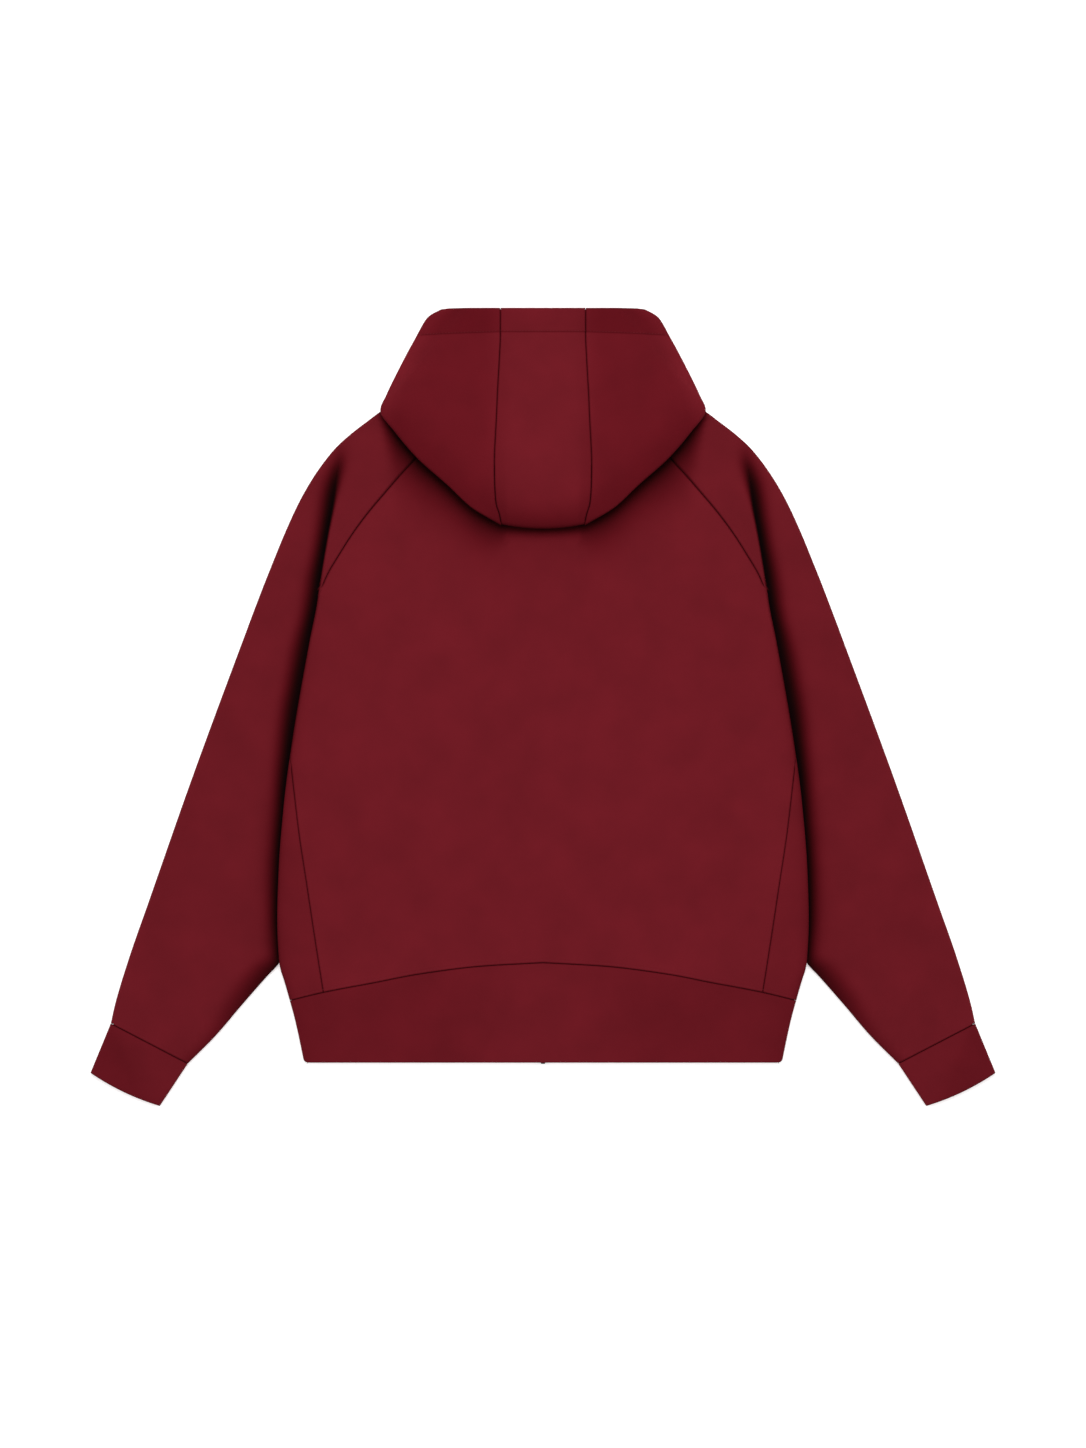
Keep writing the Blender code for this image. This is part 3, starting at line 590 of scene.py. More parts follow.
band_rows = []
for share in close_rows(0.0, 1.0, 0.05, finest=0.004):
    half = band_row(share)
    band_rows.append(half + [(-x, y, z) for x, y, z in reversed(half[:-1])])
band = cloth("waistband_cloth", band_rows, RIB, grain=len(band_rows[0]) // 2)
paint_shade(band, band_side_shade, band_seam_shade)
band_cloth = scuba("band_scuba", SCUBA_RED)
waist_seam = [(x, read(HEM_SEAM, abs(x)) - GAP / 2) for x in range(-279, 280, 6)]
waist_seam = [(x, y, top_z(abs(x), y) - INSIDE) for x, y in waist_seam]
waist_allowance = allowance("waist_seam_allowance", waist_seam, band_cloth)
finish_cloth(band, "waistband", band_cloth)


# ---------------------------------------------------------------- raglan sleeves
# Each sleeve is one piece, closed by a seam under the arm. Laid flat it folds at the armhole, so
# its inner side dips down in a deep fold beside the body and is tucked under the body's edge.

SLEEVE_INNER = [Curve(-395, 394.0), Curve(-364, 363.0), Curve(-330, 334.0), Curve(-297, 305.0),
                Curve(-284, 293.0), Curve(-262, 281.0), Curve(-230, 274.0), Curve(-190, 271.0),
                Curve(-150, 272.0), Curve(-118, 276.5), Curve(-100, 279.5), Curve(-78, 280.8),
                Curve(-60, 280.2), Curve(-41, 278.4)]
SLEEVE_OUTER = [Curve(-350.4, 479.5), Curve(-330, 475.0), Curve(-280, 460.0), Curve(-214, 437.0),
                Curve(-80, 390.0), Curve(53, 341.0), Curve(153, 303.0), Curve(219, 275.0),
                Curve(252, 257.0), Curve(286, 232.0), Curve(302, 215.0), Curve(319, 193.0),
                Curve(328, 181.0), Curve(342, 158.0), Curve(355, 133.0), Curve(364, 105.0)]
ROW_SLANT = [Curve(-395, -350.4), Curve(-368, -330), Curve(-340, -310), Curve(-310, -288),
             Curve(-282, -266), Curve(-248, -240), Curve(-200, -198), Curve(-150, -150),
             Curve(40, 40), Curve(90, 92), Curve(126, 134), Curve(139, 152), Curve(165, 184),
             Curve(190, 214), Curve(215, 244), Curve(245, 277), Curve(276, 310), Curve(318, 342),
             Curve(349, 364)]
UPPER_Z = 2.6             # only a tube's upper layer lies above this
CUFF_TOP = ((394.0, -395.0), (479.5, -350.4))
UNDER_ARM_TOP_Y = -270.0  # the sleeve's inner edge stands free of the body below this
# The shadow painted on the sleeve beside the body's edge, by height: its width and fall-off outside the
# edge, its width inside, and its darkness.
ArmFoldShadow = namedtuple("ArmFoldShadow", "y width power inner depth")
ARM_FOLD_SHADOW = [
    ArmFoldShadow(-290, 9.0, 1.0, 1.0, 0.85), ArmFoldShadow(-275, 9.5, 1.4, 1.0, 0.98),
    ArmFoldShadow(-258, 10.0, 1.4, 1.0, 0.99), ArmFoldShadow(-236, 11.0, 1.6, 1.0, 0.99),
    ArmFoldShadow(-191, 12.5, 1.8, 1.0, 0.99), ArmFoldShadow(-125, 13.0, 1.9, 1.0, 0.99),
    ArmFoldShadow(-58, 15.5, 2.6, 1.0, 0.99), ArmFoldShadow(8, 18.5, 3.0, 1.0, 0.98),
    ArmFoldShadow(64, 18.0, 2.8, 1.0, 0.98), ArmFoldShadow(97, 16.0, 2.8, 1.0, 0.99),
    ArmFoldShadow(141, 15.5, 2.6, 1.0, 0.99), ArmFoldShadow(186, 13.5, 2.6, 1.5, 0.99),
    ArmFoldShadow(208, 14.0, 2.6, 2.0, 0.99), ArmFoldShadow(230, 14.5, 2.6, 3.5, 0.98),
    ArmFoldShadow(247, 13.5, 2.3, 6.0, 0.95), ArmFoldShadow(263, 11.0, 2.0, 8.0, 0.8),
    ArmFoldShadow(275, 9.0, 2.0, 9.0, 0.5), ArmFoldShadow(290, 8.0, 2.0, 9.0, 0.15),
    ArmFoldShadow(305, 8.0, 2.0, 9.0, 0.0),
]


def valley_z(x, y):
    """Outer height of the sleeve's upper layer outside the body's edge."""
    return mix(section(y, "valley_z"), LAID, smooth((x - section(y, "edge_x")) / RISE_RUN))


def sleeve_z(x, y):
    """Outer height of the sleeve's upper layer: it is level with the body, then drops into the fold."""
    edge = section(y, "edge_x")
    if x >= edge:
        return valley_z(x, y)
    if x <= edge - ROLL_R:
        return top_z(x, y)
    share = (x - edge + ROLL_R) / ROLL_R
    return mix(section(y, "valley_z"), section(y, "ridge_z"), math.sqrt(1.0 - share * share))


def inner_edge(y):
    """Inner side of the sleeve's upper layer: raglan seam, body edge, then the seam under the arm."""
    if y > RAGLAN_FOLD_Y:
        return read(RAGLAN_SEAM, y) + 2 * GAP
    if y < UNDERARM_Y:
        return read(SLEEVE_INNER, y)
    return mix(section(y, "edge_x"), RAGLAN_SEAM[0].value, smooth((y - RAGLAN_FOLD_Y + 6) / 6)) + 2 * GAP


def tube_side(inside, full):
    """Height of a tube's upper layer near its rounded inner side, a little above its seam."""
    radius = full / 2.0
    share = min(max(inside / radius, 0.0), 1.0)
    return max(radius + radius * math.sqrt(1.0 - (1.0 - share) ** 2), radius + GAP)


def sleeve_row(inner_y):
    """Raglan or underarm seam, over the upper layer to the outer edge and back underneath."""
    tucked = inner_y < UNDERARM_Y
    outer_y = read(ROW_SLANT, inner_y)
    x_in, x_out = inner_edge(inner_y), read(SLEEVE_OUTER, outer_y)
    flat_out = x_out - EDGE_R

    def y_at(x):
        return mix(inner_y, outer_y, (x - x_in) / (x_out - x_in))

    edge = section(inner_y, "edge_x")
    for _ in range(4):
        edge = section(y_at(edge), "edge_x")
    edge = min(edge, flat_out)
    brink = edge - ROLL_R
    wanted = [mix(min(x_in, brink), brink, 1.0 - (1.0 - i / 26) ** 1.2) for i in range(26)]
    wanted += [brink + ROLL_R * math.sin(math.pi / 2 * i / 8) for i in range(9)]
    wanted += [mix(edge, flat_out, (i / 36) ** 1.35) for i in range(1, 37)]
    points = []
    for x in press(wanted, x_in, flat_out):
        y = y_at(x)
        z = valley_z(x, y) if tucked else sleeve_z(x, y)
        if tucked:
            z = tube_side(x - x_in, z)
        elif inner_y > RAGLAN_FOLD_Y:
            z += seam_relief((x - x_in) * RAGLAN_SLANT, True)
        z += seam_relief(inner_y - SLEEVE_INNER[0].at, True)
        points.append((x, y, z))
    radius = points[-1][2] / 2.0
    for i in range(1, 12):
        angle = math.pi * i / 12
        points.append((flat_out + EDGE_R * math.sin(angle), outer_y, radius * (1 + math.cos(angle))))
    end_x, end_y = x_in, inner_y
    if not tucked:
        share = (inner_y - UNDERARM_Y) / (RAGLAN_SEAM[-1].at - UNDERARM_Y)
        end_y = mix(UNDERARM_Y, FRONT_RAGLAN[-1].at, share)
        end_x = read(FRONT_RAGLAN, end_y) + GAP
    for i in range(33):
        x = mix(flat_out, end_x, 1.0 - (1.0 - i / 32) ** 1.5)
        y = mix(outer_y, end_y, (flat_out - x) / (flat_out - end_x))
        z = FRONT_LIFT * lift(x, y)
        if tucked:
            full = valley_z(x, y)
            z = full - tube_side(x - x_in, full)
        points.append((x, y, z))
    return points


def arm_fold_shadow(x, y, z):
    """How dark the shadow painted on the sleeve in the fold beside the body is at a point."""
    if z < UPPER_Z:
        return 0.0
    away = x - section(y, "edge_x")
    fold = {column: read(ARM_FOLD_SHADOW, y, column) for column in ArmFoldShadow._fields[1:]}
    if away < 0:
        return fold["depth"] * math.exp(-(away / fold["inner"]) ** 2)
    return fold["depth"] * math.exp(-(away / fold["width"]) ** fold["power"])


def under_arm_shade(x, y, z):
    """Painted shade near the sleeve's free inner edge, where it turns away from the light."""
    if y > UNDER_ARM_TOP_Y or z < UPPER_Z:
        return 0.0
    inside = max(x - read(SLEEVE_INNER, y), 0.0)
    down = smooth((-290 - y) / 90.0)
    reach = mix(40.0, 20.0, down)
    return smooth((UNDER_ARM_TOP_Y - y) / 20.0) * mix(0.75, 0.25, down) * (1.0 - smooth(inside / reach))


def from_cuff(x, y):
    """How far up the sleeve a point is from its cuff seam."""
    (in_x, in_y), (out_x, out_y) = CUFF_TOP
    return ((x - in_x) * (in_y - out_y) + (y - in_y) * (out_x - in_x)) / math.dist(*CUFF_TOP)


# Painted shade in the crease of the raglan and cuff seams, on the sleeve.
def sleeve_seam_shade(x, y, z):
    away = abs(from_cuff(x, y))
    if y > RAGLAN_FOLD_Y and z > EDGE_R:
        away = (x - read(RAGLAN_SEAM, y)) * RAGLAN_SLANT
    return seam_shade(away)


sleeve_rows = [sleeve_row(y) for y in close_rows(-395.0, 349.0, 5.0)]
# A darker copy of the body's red, as painted shade on the sleeves.
sleeve_cloth = scuba("sleeve_scuba", tinted(SCUBA_RED, 0.93))
for side_name, side in SIDES:
    sleeve = cloth(f"sleeve_{side_name}_cloth", sleeve_rows, CLOTH, side, grain=70)
    paint_shade(sleeve, arm_fold_shadow, under_arm_shade, under_hood_shadow, sleeve_seam_shade)
    seam = [(side * inner_edge(y), y, UPPER_Z) for y in range(-80, 130, 6)]
    strip = allowance(f"armhole_{side_name}_allowance", seam, sleeve_cloth, half=3.0, wall=0.5)
    finish_cloth(sleeve, f"sleeve_{side_name}", sleeve_cloth)


# ---------------------------------------------------------------- cuffs
# Each cuff is a short tube of the same cloth, folded in half at its free end, and joined to the
# sleeve's end by a seam with the sleeve's allowance stitched down beside it.

CUFF_END = ((425.0, -441.8), (502.0, -405.0))
CUFF_BULGE = 3.3


def cuff_ring(share):
    """A turn round the cuff, share of the way from its seam to its slightly rounded end."""
    inner = [mix(a, b, share) for a, b in zip(CUFF_TOP[0], CUFF_END[0])]
    outer = [mix(a, b, share) for a, b in zip(CUFF_TOP[1], CUFF_END[1])]
    length = math.dist(inner, outer)
    across = [(b - a) / length for a, b in zip(inner, outer)]
    down = (across[1], -across[0])
    depth = math.dist(CUFF_TOP[0], CUFF_END[0])
    relief = seam_relief(share * depth) + fold_relief((1.0 - share) * depth)

    def place(from_inner, z):
        t = from_inner / length
        out = GAP + CUFF_BULGE * share * (1 - (2 * t - 1) ** 2)
        return (inner[0] + across[0] * from_inner + down[0] * out,
                inner[1] + across[1] * from_inner + down[1] * out, z + (relief if z > EDGE_R else 0.0))

    ring = [place(mix(EDGE_R, length - EDGE_R, i / 20), LAID) for i in range(20)]
    for i in range(12):
        angle = math.pi * i / 12
        ring.append(place(length - EDGE_R + EDGE_R * math.sin(angle), EDGE_R * (1 + math.cos(angle))))
    ring += [place(mix(length - EDGE_R, EDGE_R, i / 20), 0.0) for i in range(20)]
    for i in range(12):
        angle = math.pi * i / 12
        ring.append(place(EDGE_R - EDGE_R * math.sin(angle), EDGE_R * (1 - math.cos(angle))))
    return ring


cuff_rings = [cuff_ring(share) for share in close_rows(0.0, 1.0, 0.06, finest=0.008)]
# A darker copy of the body's red, as painted shade on the cuffs.
cuff_cloth = scuba("cuff_scuba", tinted(SCUBA_RED, 0.95))
for side_name, side in SIDES:
    cuff = cloth(f"cuff_{side_name}_cloth", cuff_rings, RIB, side, ring=True)
    # Painted shade on the cuffs: in the crease of the cuff seam, a little all over, and more towards each
    # cuff's outer side.
    paint_shade(cuff, lambda x, y, z: seam_shade(-from_cuff(x, y)),
           lambda x, y, z: 0.05 + 0.12 * math.exp(-max(480.0 - x + 0.4 * (y + 350.0), 0.0) / 12.0))
    (in_x, in_y), (out_x, out_y) = CUFF_TOP
    seam = [(side * mix(in_x, out_x, i / 33), mix(in_y, out_y, i / 33), LAID - INSIDE - 0.5)
            for i in range(1, 33)]
    strip = allowance(f"cuff_{side_name}_allowance", seam, cuff_cloth, half=4.0)
    finish_cloth(cuff, f"cuff_{side_name}", cuff_cloth)


# ---------------------------------------------------------------- hood
# Three pieces, a straight centre panel between two shaped sides, with a turned hem at the face
# opening. It lies back over the neck, open to the top, and folds under itself to the neck seam.

HoodLine = namedtuple("HoodLine", "at top_x top_y fold_x fold_y via_x via_y neck_x neck_y fold_z low_z laid")
HOOD_TOP_Z, HOOD_CROWN_Z = 24.0, 28.0
HOOD_HEM = 26.6           # depth of the turned hem at the face opening
HEM_SLANT = 0.035         # the hem deepens a little towards the sides
HOOD_HEM_RISE = 0.5
FOLD_R = 3.5
HOOD_SIDE = [
    HoodLine(0, 47.5, 442.3, 46.3, 201.8, 44.8, 280, 37.2, 340, 18, 8.0, 1.0),
    HoodLine(1, 54, 442.3, 75.0, 220.0, 64, 290, 54, 342, 18, 8.0, 1.0),
    HoodLine(2, 60, 442.3, 103.0, 245.0, 84, 305, 72, 345, 18, 8.0, 1.0),
    HoodLine(3, 67, 442.3, 140.0, 277.0, 110, 325, 86, 351, 17, 8.0, 1.0),
    HoodLine(4, 74, 442.3, 164.0, 305.0, 128, 338, 97, 359, 15, 8.0, 1.0),
    HoodLine(5, 80, 442.3, 180.4, 329.0, 140, 354, 107, 370, 13.5, 8.0, 0.0),
    HoodLine(6, 86, 442.3, 173.5, 347.0, 136, 374, 103, 374, 10.5, 3.5, 0.0),
    HoodLine(7, 92, 442.3, 160.0, 375.0, 112, 398, 90, 345, 9, 2.4, 0.0),
    HoodLine(8, 98, 442.3, 143.0, 407.0, 98, 406, 79, 308.7, 9, 0.4, 0.0),
    HoodLine(9, 101, 442.3, 127.0, 433.5, 84, 408, 38, 281.7, 9, 0.4, 0.0),
    HoodLine(10, 104, 442.3, 113.5, 441.3, 70, 414, 6.5, 276.4, 9, 0.4, 0.0),
]
HOOD_TOP_Y = HOOD_SIDE[0].top_y
HOOD_SEAM = [Curve(203, 46.0), Curve(214, 48.3), Curve(226, 52.0), Curve(246, 53.4), Curve(272, 53.8),
             Curve(299, 52.7), Curve(319, 51.6), Curve(346, 50.5), Curve(366, 49.4), Curve(386, 48.3),
             Curve(412, 47.2), Curve(442, 47.2)]
NECK_HALF = 36.6          # half width of the centre panel at the neck seam
CENTRE_BULGE = 5.0
UPPER_HOOD_Z, SEAM_HOOD_Z = 9.0, 16.0   # the hood's upper layer, and its seams, lie above these
HOOD_OUTER = [Curve(line.fold_y, line.fold_x) for line in HOOD_SIDE[5:]]
HOOD_SLOPE = 36.0         # how far inside its folded outline the hood's upper layer levels out
HOOD_OUTLINE = [(read(HOOD_SIDE, i / 16, "fold_x"), read(HOOD_SIDE, i / 16, "fold_y")) for i in range(161)]


def hood_z(y):
    """Height of the hood's upper layer away from its edges."""
    return mix(HOOD_CROWN_Z, HOOD_TOP_Z, smooth((y - 320.0) / 122.0))


def hood_hem_y(x):
    """Height up the hood of the hem's lower edge, which drops a little towards the sides."""
    return HOOD_TOP_Y - HOOD_HEM - HEM_SLANT * max(abs(x) - HOOD_SEAM[-1].value, 0.0)


def hood_row(line, seam_away, follow):
    """Opening edge, down the upper layer, round the lower fold and back under to the neck seam.

    seam_away gives how far a point of the upper layer is from the panel seam, and follow how
    much of the seam's bow the line takes up.
    """
    top, fold = (line.top_x, line.top_y), (line.fold_x, line.fold_y)
    length = math.dist(top, fold)
    radius = min(FOLD_R, length * 0.45)
    points = []
    stop = 1.0 - radius / length
    hem_t = 0.9 * stop
    for _ in range(4):
        hem_y = hood_hem_y(mix(top[0], fold[0], hem_t))
        hem_t = min((line.top_y - hem_y) / (line.top_y - line.fold_y), 0.9 * stop)
    stops = [hem_t * share for share in close_rows(0.0, 1.0, 0.2, finest=0.012)]
    stops += [mix(hem_t, stop, share) for share in close_rows(0.0, 1.0, 0.04, finest=0.002)[1:]]
    for t in stops:
        x, y = mix(top[0], fold[0], t), mix(top[1], fold[1], t)
        bow = read(HOOD_SEAM, y) - mix(HOOD_SEAM[-1].value, HOOD_SEAM[0].value, t)
        x += follow * bow
        inside = min([(1.0 - t) * length] + [math.dist((abs(x), y), spot) for spot in HOOD_OUTLINE])
        z = mix(line.fold_z + radius, hood_z(y), smooth(inside / HOOD_SLOPE))
        hem = y - hood_hem_y(x)
        relief = fold_relief(HOOD_TOP_Y - y) * 0.5 + HOOD_HEM_RISE * smooth(hem / 1.5 + 0.5)
        relief -= 0.45 * math.exp(-((hem - 0.6) / 0.9) ** 2)
        points.append((x, y, z + seam_relief(seam_away(x, y)) * 1.3 + relief * smooth(inside / 5.0)))
    bow = follow * (read(HOOD_SEAM, fold[1] + radius) - HOOD_SEAM[0].value)
    back_way = [(a - b) / length for a, b in zip(top, fold)]
    reach = math.dist((line.via_x, line.via_y), fold)
    under = ((line.via_x - line.fold_x) / reach, (line.via_y - line.fold_y) / reach)
    for i in range(1, 13):
        angle = math.pi * i / 12
        inward = radius * (1 - math.sin(angle))
        way = back_way if angle <= math.pi / 2 else under
        points.append((fold[0] + way[0] * inward + bow * (1 - i / 12), fold[1] + way[1] * inward,
                       line.fold_z + radius * math.cos(angle)))
    start = points[-1]
    for i in range(1, 25):
        f = i / 24
        x, y = ((1 - f) ** 2 * start[k] + 2 * f * (1 - f) * via + f * f * neck
                for k, via, neck in ((0, line.via_x, line.neck_x), (1, line.via_y, line.neck_y)))
        laid = mix(line.low_z + FRONT_LIFT * lift(x, y), top_z(abs(x), y) + 0.6, line.laid)
        points.append((x, y, mix(start[2], laid, smooth(f * reach / 21.0))))
    return points


def hood_turn_shade(x, y, z):
    """Painted shade on the hood: darker where it turns away from the light towards its lower edge, and on
    the side panels a little darker away from their outer edges, which so read lighter.
    """
    if z < UPPER_HOOD_Z:
        return 0.0
    up = max(y - read(HOOD_EDGE, x, "y"), 0.0) * (1.0 if x < 40 else HOOD_SLANT)
    middle = 1.0 - smooth((x - 30.0) / 40.0)
    level = (1.0 - middle) * 0.2 * smooth((read(HOOD_OUTER, y) - x) / 24.0)
    return level + mix(0.22, 0.6, middle) * math.exp(-up / 18.0)


def hood_hem_shade(x, y, z):
    """Painted shade at the hood's hem: a dark crease along its lower edge, and the hem band a little darker,
    more so on the side panels.
    """
    if z < UPPER_HOOD_Z:
        return 0.0
    up = y - hood_hem_y(x)
    hem_band_shade = (0.16 if x > 47.0 else 0.08) * smooth(up / 1.5 + 0.5)
    return max(hem_band_shade, 0.35 * math.exp(-((up - 0.3) / 0.9) ** 2))


# Painted shade in the crease of the hood's panel seams.
def hood_seam_shade(x, y, z):
    return seam_shade(abs(x - read(HOOD_SEAM, y))) if z > SEAM_HOOD_Z else 0.0


centre_rows = []
for f in close_rows(-1.0, 1.0, 0.08, finest=0.008):
    bulge = CENTRE_BULGE * (1 - f * f)
    line = HoodLine(0, f * (HOOD_SEAM[-1].value - GAP), HOOD_TOP_Y, f * (HOOD_SEAM[0].value - GAP),
                    203.0 - bulge, f * 43.5, 280 - bulge, f * NECK_HALF, 340 - bulge, 18, 0.0, 1.0)
    centre_rows.append(hood_row(line, lambda x, y: read(HOOD_SEAM, y) - abs(x), f))
# A lighter copy of the body's red, as painted light on the raised hood.
hood_cloth = scuba("hood_scuba", tinted(SCUBA_RED, 1.03))
hood_center = cloth("hood_center_cloth", centre_rows, CLOTH)
paint_shade(hood_center, hood_turn_shade, hood_hem_shade, hood_seam_shade)
for side_name, side in SIDES:
    seam = [(side * read(HOOD_SEAM, y), y, hood_z(y) - INSIDE - 0.4) for y in range(441, 262, -6)]
    allowance(f"hood_{side_name}_allowance", seam, hood_cloth, half=5.0, depth=0.3)
finish_cloth(hood_center, "hood_center", hood_cloth)

side_rows = []
for at in close_rows(0.0, 10.0, 0.16, finest=0.05):
    line = HoodLine(at, *(read(HOOD_SIDE, at, column) for column in HoodLine._fields[1:]))
    side_rows.append(hood_row(line, lambda x, y: x - read(HOOD_SEAM, y), 1.0 - smooth(at / 3.5)))
# A still lighter copy for the side panels: painted light, left brightest near their outer edges where the
# painted shade fades.
hood_side_cloth = scuba("hood_side_scuba", tinted(SCUBA_RED, 1.1))
hood_sides = {}
for side_name, side in SIDES:
    hood_side = cloth(f"hood_{side_name}_cloth", side_rows, CLOTH, side)
    hood_sides[side > 0] = hood_side
    paint_shade(hood_side, hood_turn_shade, hood_hem_shade, hood_seam_shade)
    finish_cloth(hood_side, f"hood_{side_name}", hood_side_cloth)


# ---------------------------------------------------------------- topstitching
# Rows of short stitches in thread of the cloth's own red hold the seam allowances down beside
# the raglan, side, waist and cuff seams, and hold the hem round the face opening.

STITCH_PITCH = 3.4
STITCH_SIZE = (2.5, 0.55, 0.4)
THREAD_SINK = 0.12

bpy.ops.object.select_all(action="DESELECT")
bpy.ops.mesh.primitive_uv_sphere_add(segments=6, ring_count=4, radius=0.5 * MM, rotation=(0, math.pi / 2, 0))
stitch = bpy.context.object
bpy.ops.object.transform_apply(location=False, rotation=True, scale=False)
stitch.scale = STITCH_SIZE
bpy.ops.object.transform_apply(location=False, rotation=False, scale=True)

thread, thread_tree, thread_shader = start_material("sewing_thread",
                                                   {"Roughness": 0.6, "Specular IOR Level": 0.2})
thread_place = add_node(thread_tree, "TexCoord")
thread_twist = add_node(thread_tree, "TexNoise", {"Vector": thread_place.outputs["Object"], "Scale": 900.0})
thread_tint = ramp(thread_tree, thread_twist.outputs["Fac"],
                   [(0.0, tinted(SCUBA_RED, 0.75)), (1.0, tinted(SCUBA_RED, 1.1))])
feed(thread_tree, thread_shader, {"Base Color": thread_tint})


def repeat(name, model, places, finish):
    """Copies of a small piece at each place: (x, y, z) in millimetres and a turn about Z, as one mesh."""
    corners = [v.co.copy() for v in model.data.vertices]
    faces = [list(face.vertices) for face in model.data.polygons]
    points, all_faces = [], []
    for (x, y, z), turn in places:
        start = len(points)
        move = Matrix.Translation((x * MM, y * MM, z * MM)) @ Matrix.Rotation(turn, 4, "Z")
        points += [move @ corner for corner in corners]
        all_faces += [[start + i for i in face] for face in faces]
    mesh = bpy.data.meshes.new(name)
    mesh.from_pydata(points, [], all_faces)
    mesh.materials.append(finish)
    made = bpy.data.objects.new(name, mesh)
    bpy.context.scene.collection.objects.link(made)
    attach(made, "garment")
    return made


def stitches_along(path):
    """Places of stitches one pitch apart along a path of points."""
    places = []
    walked, due = 0.0, STITCH_PITCH / 2
    for a, b in zip(path, path[1:]):
        run = math.dist(a[:2], b[:2])
        while run > 0 and due <= walked + run:
            t = (due - walked) / run
            spot = (mix(a[0], b[0], t), mix(a[1], b[1], t), mix(a[2], b[2], t) - THREAD_SINK)
            places.append((spot, math.atan2(b[1] - a[1], b[0] - a[0])))
            due += STITCH_PITCH
        walked += run
    return places


def both_sides(path):
    return [path, [(-x, y, z) for x, y, z in path]]


beside = seam_relief(TOPSTITCH_IN, True)
raglan_row = [(inner_edge(y) + TOPSTITCH_IN / RAGLAN_SLANT, y + 1.0) for y in range(140, 336, 4)]
raglan_row = [(x, y, sleeve_z(x, y) + beside) for x, y in raglan_row]
side_row = [(read(BACK_SEAM, y) - TOPSTITCH_IN, y) for y in range(-310, -84, 4)]
side_row = [(x, y, top_z(x, y) + beside) for x, y in side_row]
waist_row = [(x, read(HEM_SEAM, abs(x)) + TOPSTITCH_IN) for x in range(-272, 273, 4)]
waist_row = [(x, y, top_z(abs(x), y) + beside) for x, y in waist_row]
(in_x, in_y), (out_x, out_y) = CUFF_TOP
cuff_run = math.dist(*CUFF_TOP)
cuff_up = ((in_y - out_y) / cuff_run, (out_x - in_x) / cuff_run)
cuff_row = [(mix(in_x, out_x, i / 24) + cuff_up[0] * TOPSTITCH_IN,
             mix(in_y, out_y, i / 24) + cuff_up[1] * TOPSTITCH_IN) for i in range(1, 24)]
cuff_row = [(x, y, valley_z(x, y) + beside) for x, y in cuff_row]
bpy.context.view_layer.update()
hem_row = []
for x in range(-136, 137, 4):
    y = hood_hem_y(x) + 1.2
    hem_piece = hood_center if abs(x) < 46 else hood_sides[x > 0]
    found, spot, _, _ = hem_piece.ray_cast((x * MM, y * MM, 1.0), (0.0, 0.0, -1.0))
    if found:
        hem_row.append((x, y, spot.z / MM))

for row_name, rows in (("raglan", both_sides(raglan_row)), ("side_seam", both_sides(side_row)),
                       ("waist", [waist_row]), ("cuff", both_sides(cuff_row)), ("hood_hem_shade", [hem_row])):
    places = [place for row in rows for place in stitches_along(row)]
    repeat(f"{row_name}_stitches", stitch, places, thread)
bpy.data.objects.remove(stitch)


# ---------------------------------------------------------------- zip tapes and teeth
# Two woven tapes sewn inside the centre-front edges, with moulded teeth clamped along them. They
# mesh all the way up to the slider, and end in a small box at the hem.

TAPE_WALL = 1.0
TAPE_TOP_Z = 3.9
TAPE_COLUMNS = (2.9, 3.3, 5.0, 7.5, 10.0, 12.5, 15.0, 15.6, 16.0)
TAPE_Y = (-393.0, 272.0)
TEETH_Z = 3.4
TEETH_Y = (-385.0, SLIDER_Y - 9.2)
TOOTH_SIZE = (3.6, 1.15, 2.5)
TOOTH_PITCH = 2.5
TOOTH_OUT = 0.72          # middle of a tooth, from the middle of the zip
TAPE_RED = (0.085, 0.006, 0.010, 1.0)
GUNMETAL = (0.055, 0.055, 0.06, 1.0)


def woven(name, colour):
    """Herringbone tape: fine diagonal ribs, bright and dull by turns."""
    made, tree, shader = start_material(name, {"Roughness": 0.8, "Specular IOR Level": 0.2})
    place = add_node(tree, "TexCoord")
    turned = add_node(tree, "Mapping", {"Vector": place.outputs["Object"],
                                        "Rotation": (0.0, 0.0, math.radians(45.0))})
    ribs = add_node(tree, "TexWave", {"Vector": turned.outputs["Vector"], "Scale": 260.0, "Distortion": 0.6})
    tint = ramp(tree, ribs.outputs["Fac"], [(0.0, tinted(colour, 0.7)), (1.0, tinted(colour, 1.25))])
    bump = add_node(tree, "Bump", {"Height": ribs.outputs["Fac"], "Distance": 0.0002})
    feed(tree, shader, {"Base Color": tint, "Normal": bump.outputs["Normal"]})
    return made


def plated(name, colour, roughness):
    """Dark satin plating, rubbed a little brighter in fine streaks."""
    made, tree, shader = start_material(name, {"Metallic": 1.0})
    place = add_node(tree, "TexCoord")
    stretch = add_node(tree, "Mapping", {"Vector": place.outputs["Object"], "Scale": (1.0, 0.15, 1.0)})
    streaks = add_node(tree, "TexNoise", {"Vector": stretch.outputs["Vector"], "Scale": 1400.0})
    tint = ramp(tree, streaks.outputs["Fac"], [(0.0, tinted(colour, 0.75)), (1.0, tinted(colour, 1.6))])
    dull = add_node(tree, "MapRange", {"Value": streaks.outputs["Fac"], "To Min": roughness - 0.08,
                                       "To Max": roughness + 0.12})
    feed(tree, shader, {"Base Color": tint, "Roughness": dull.outputs["Result"]})
    return made


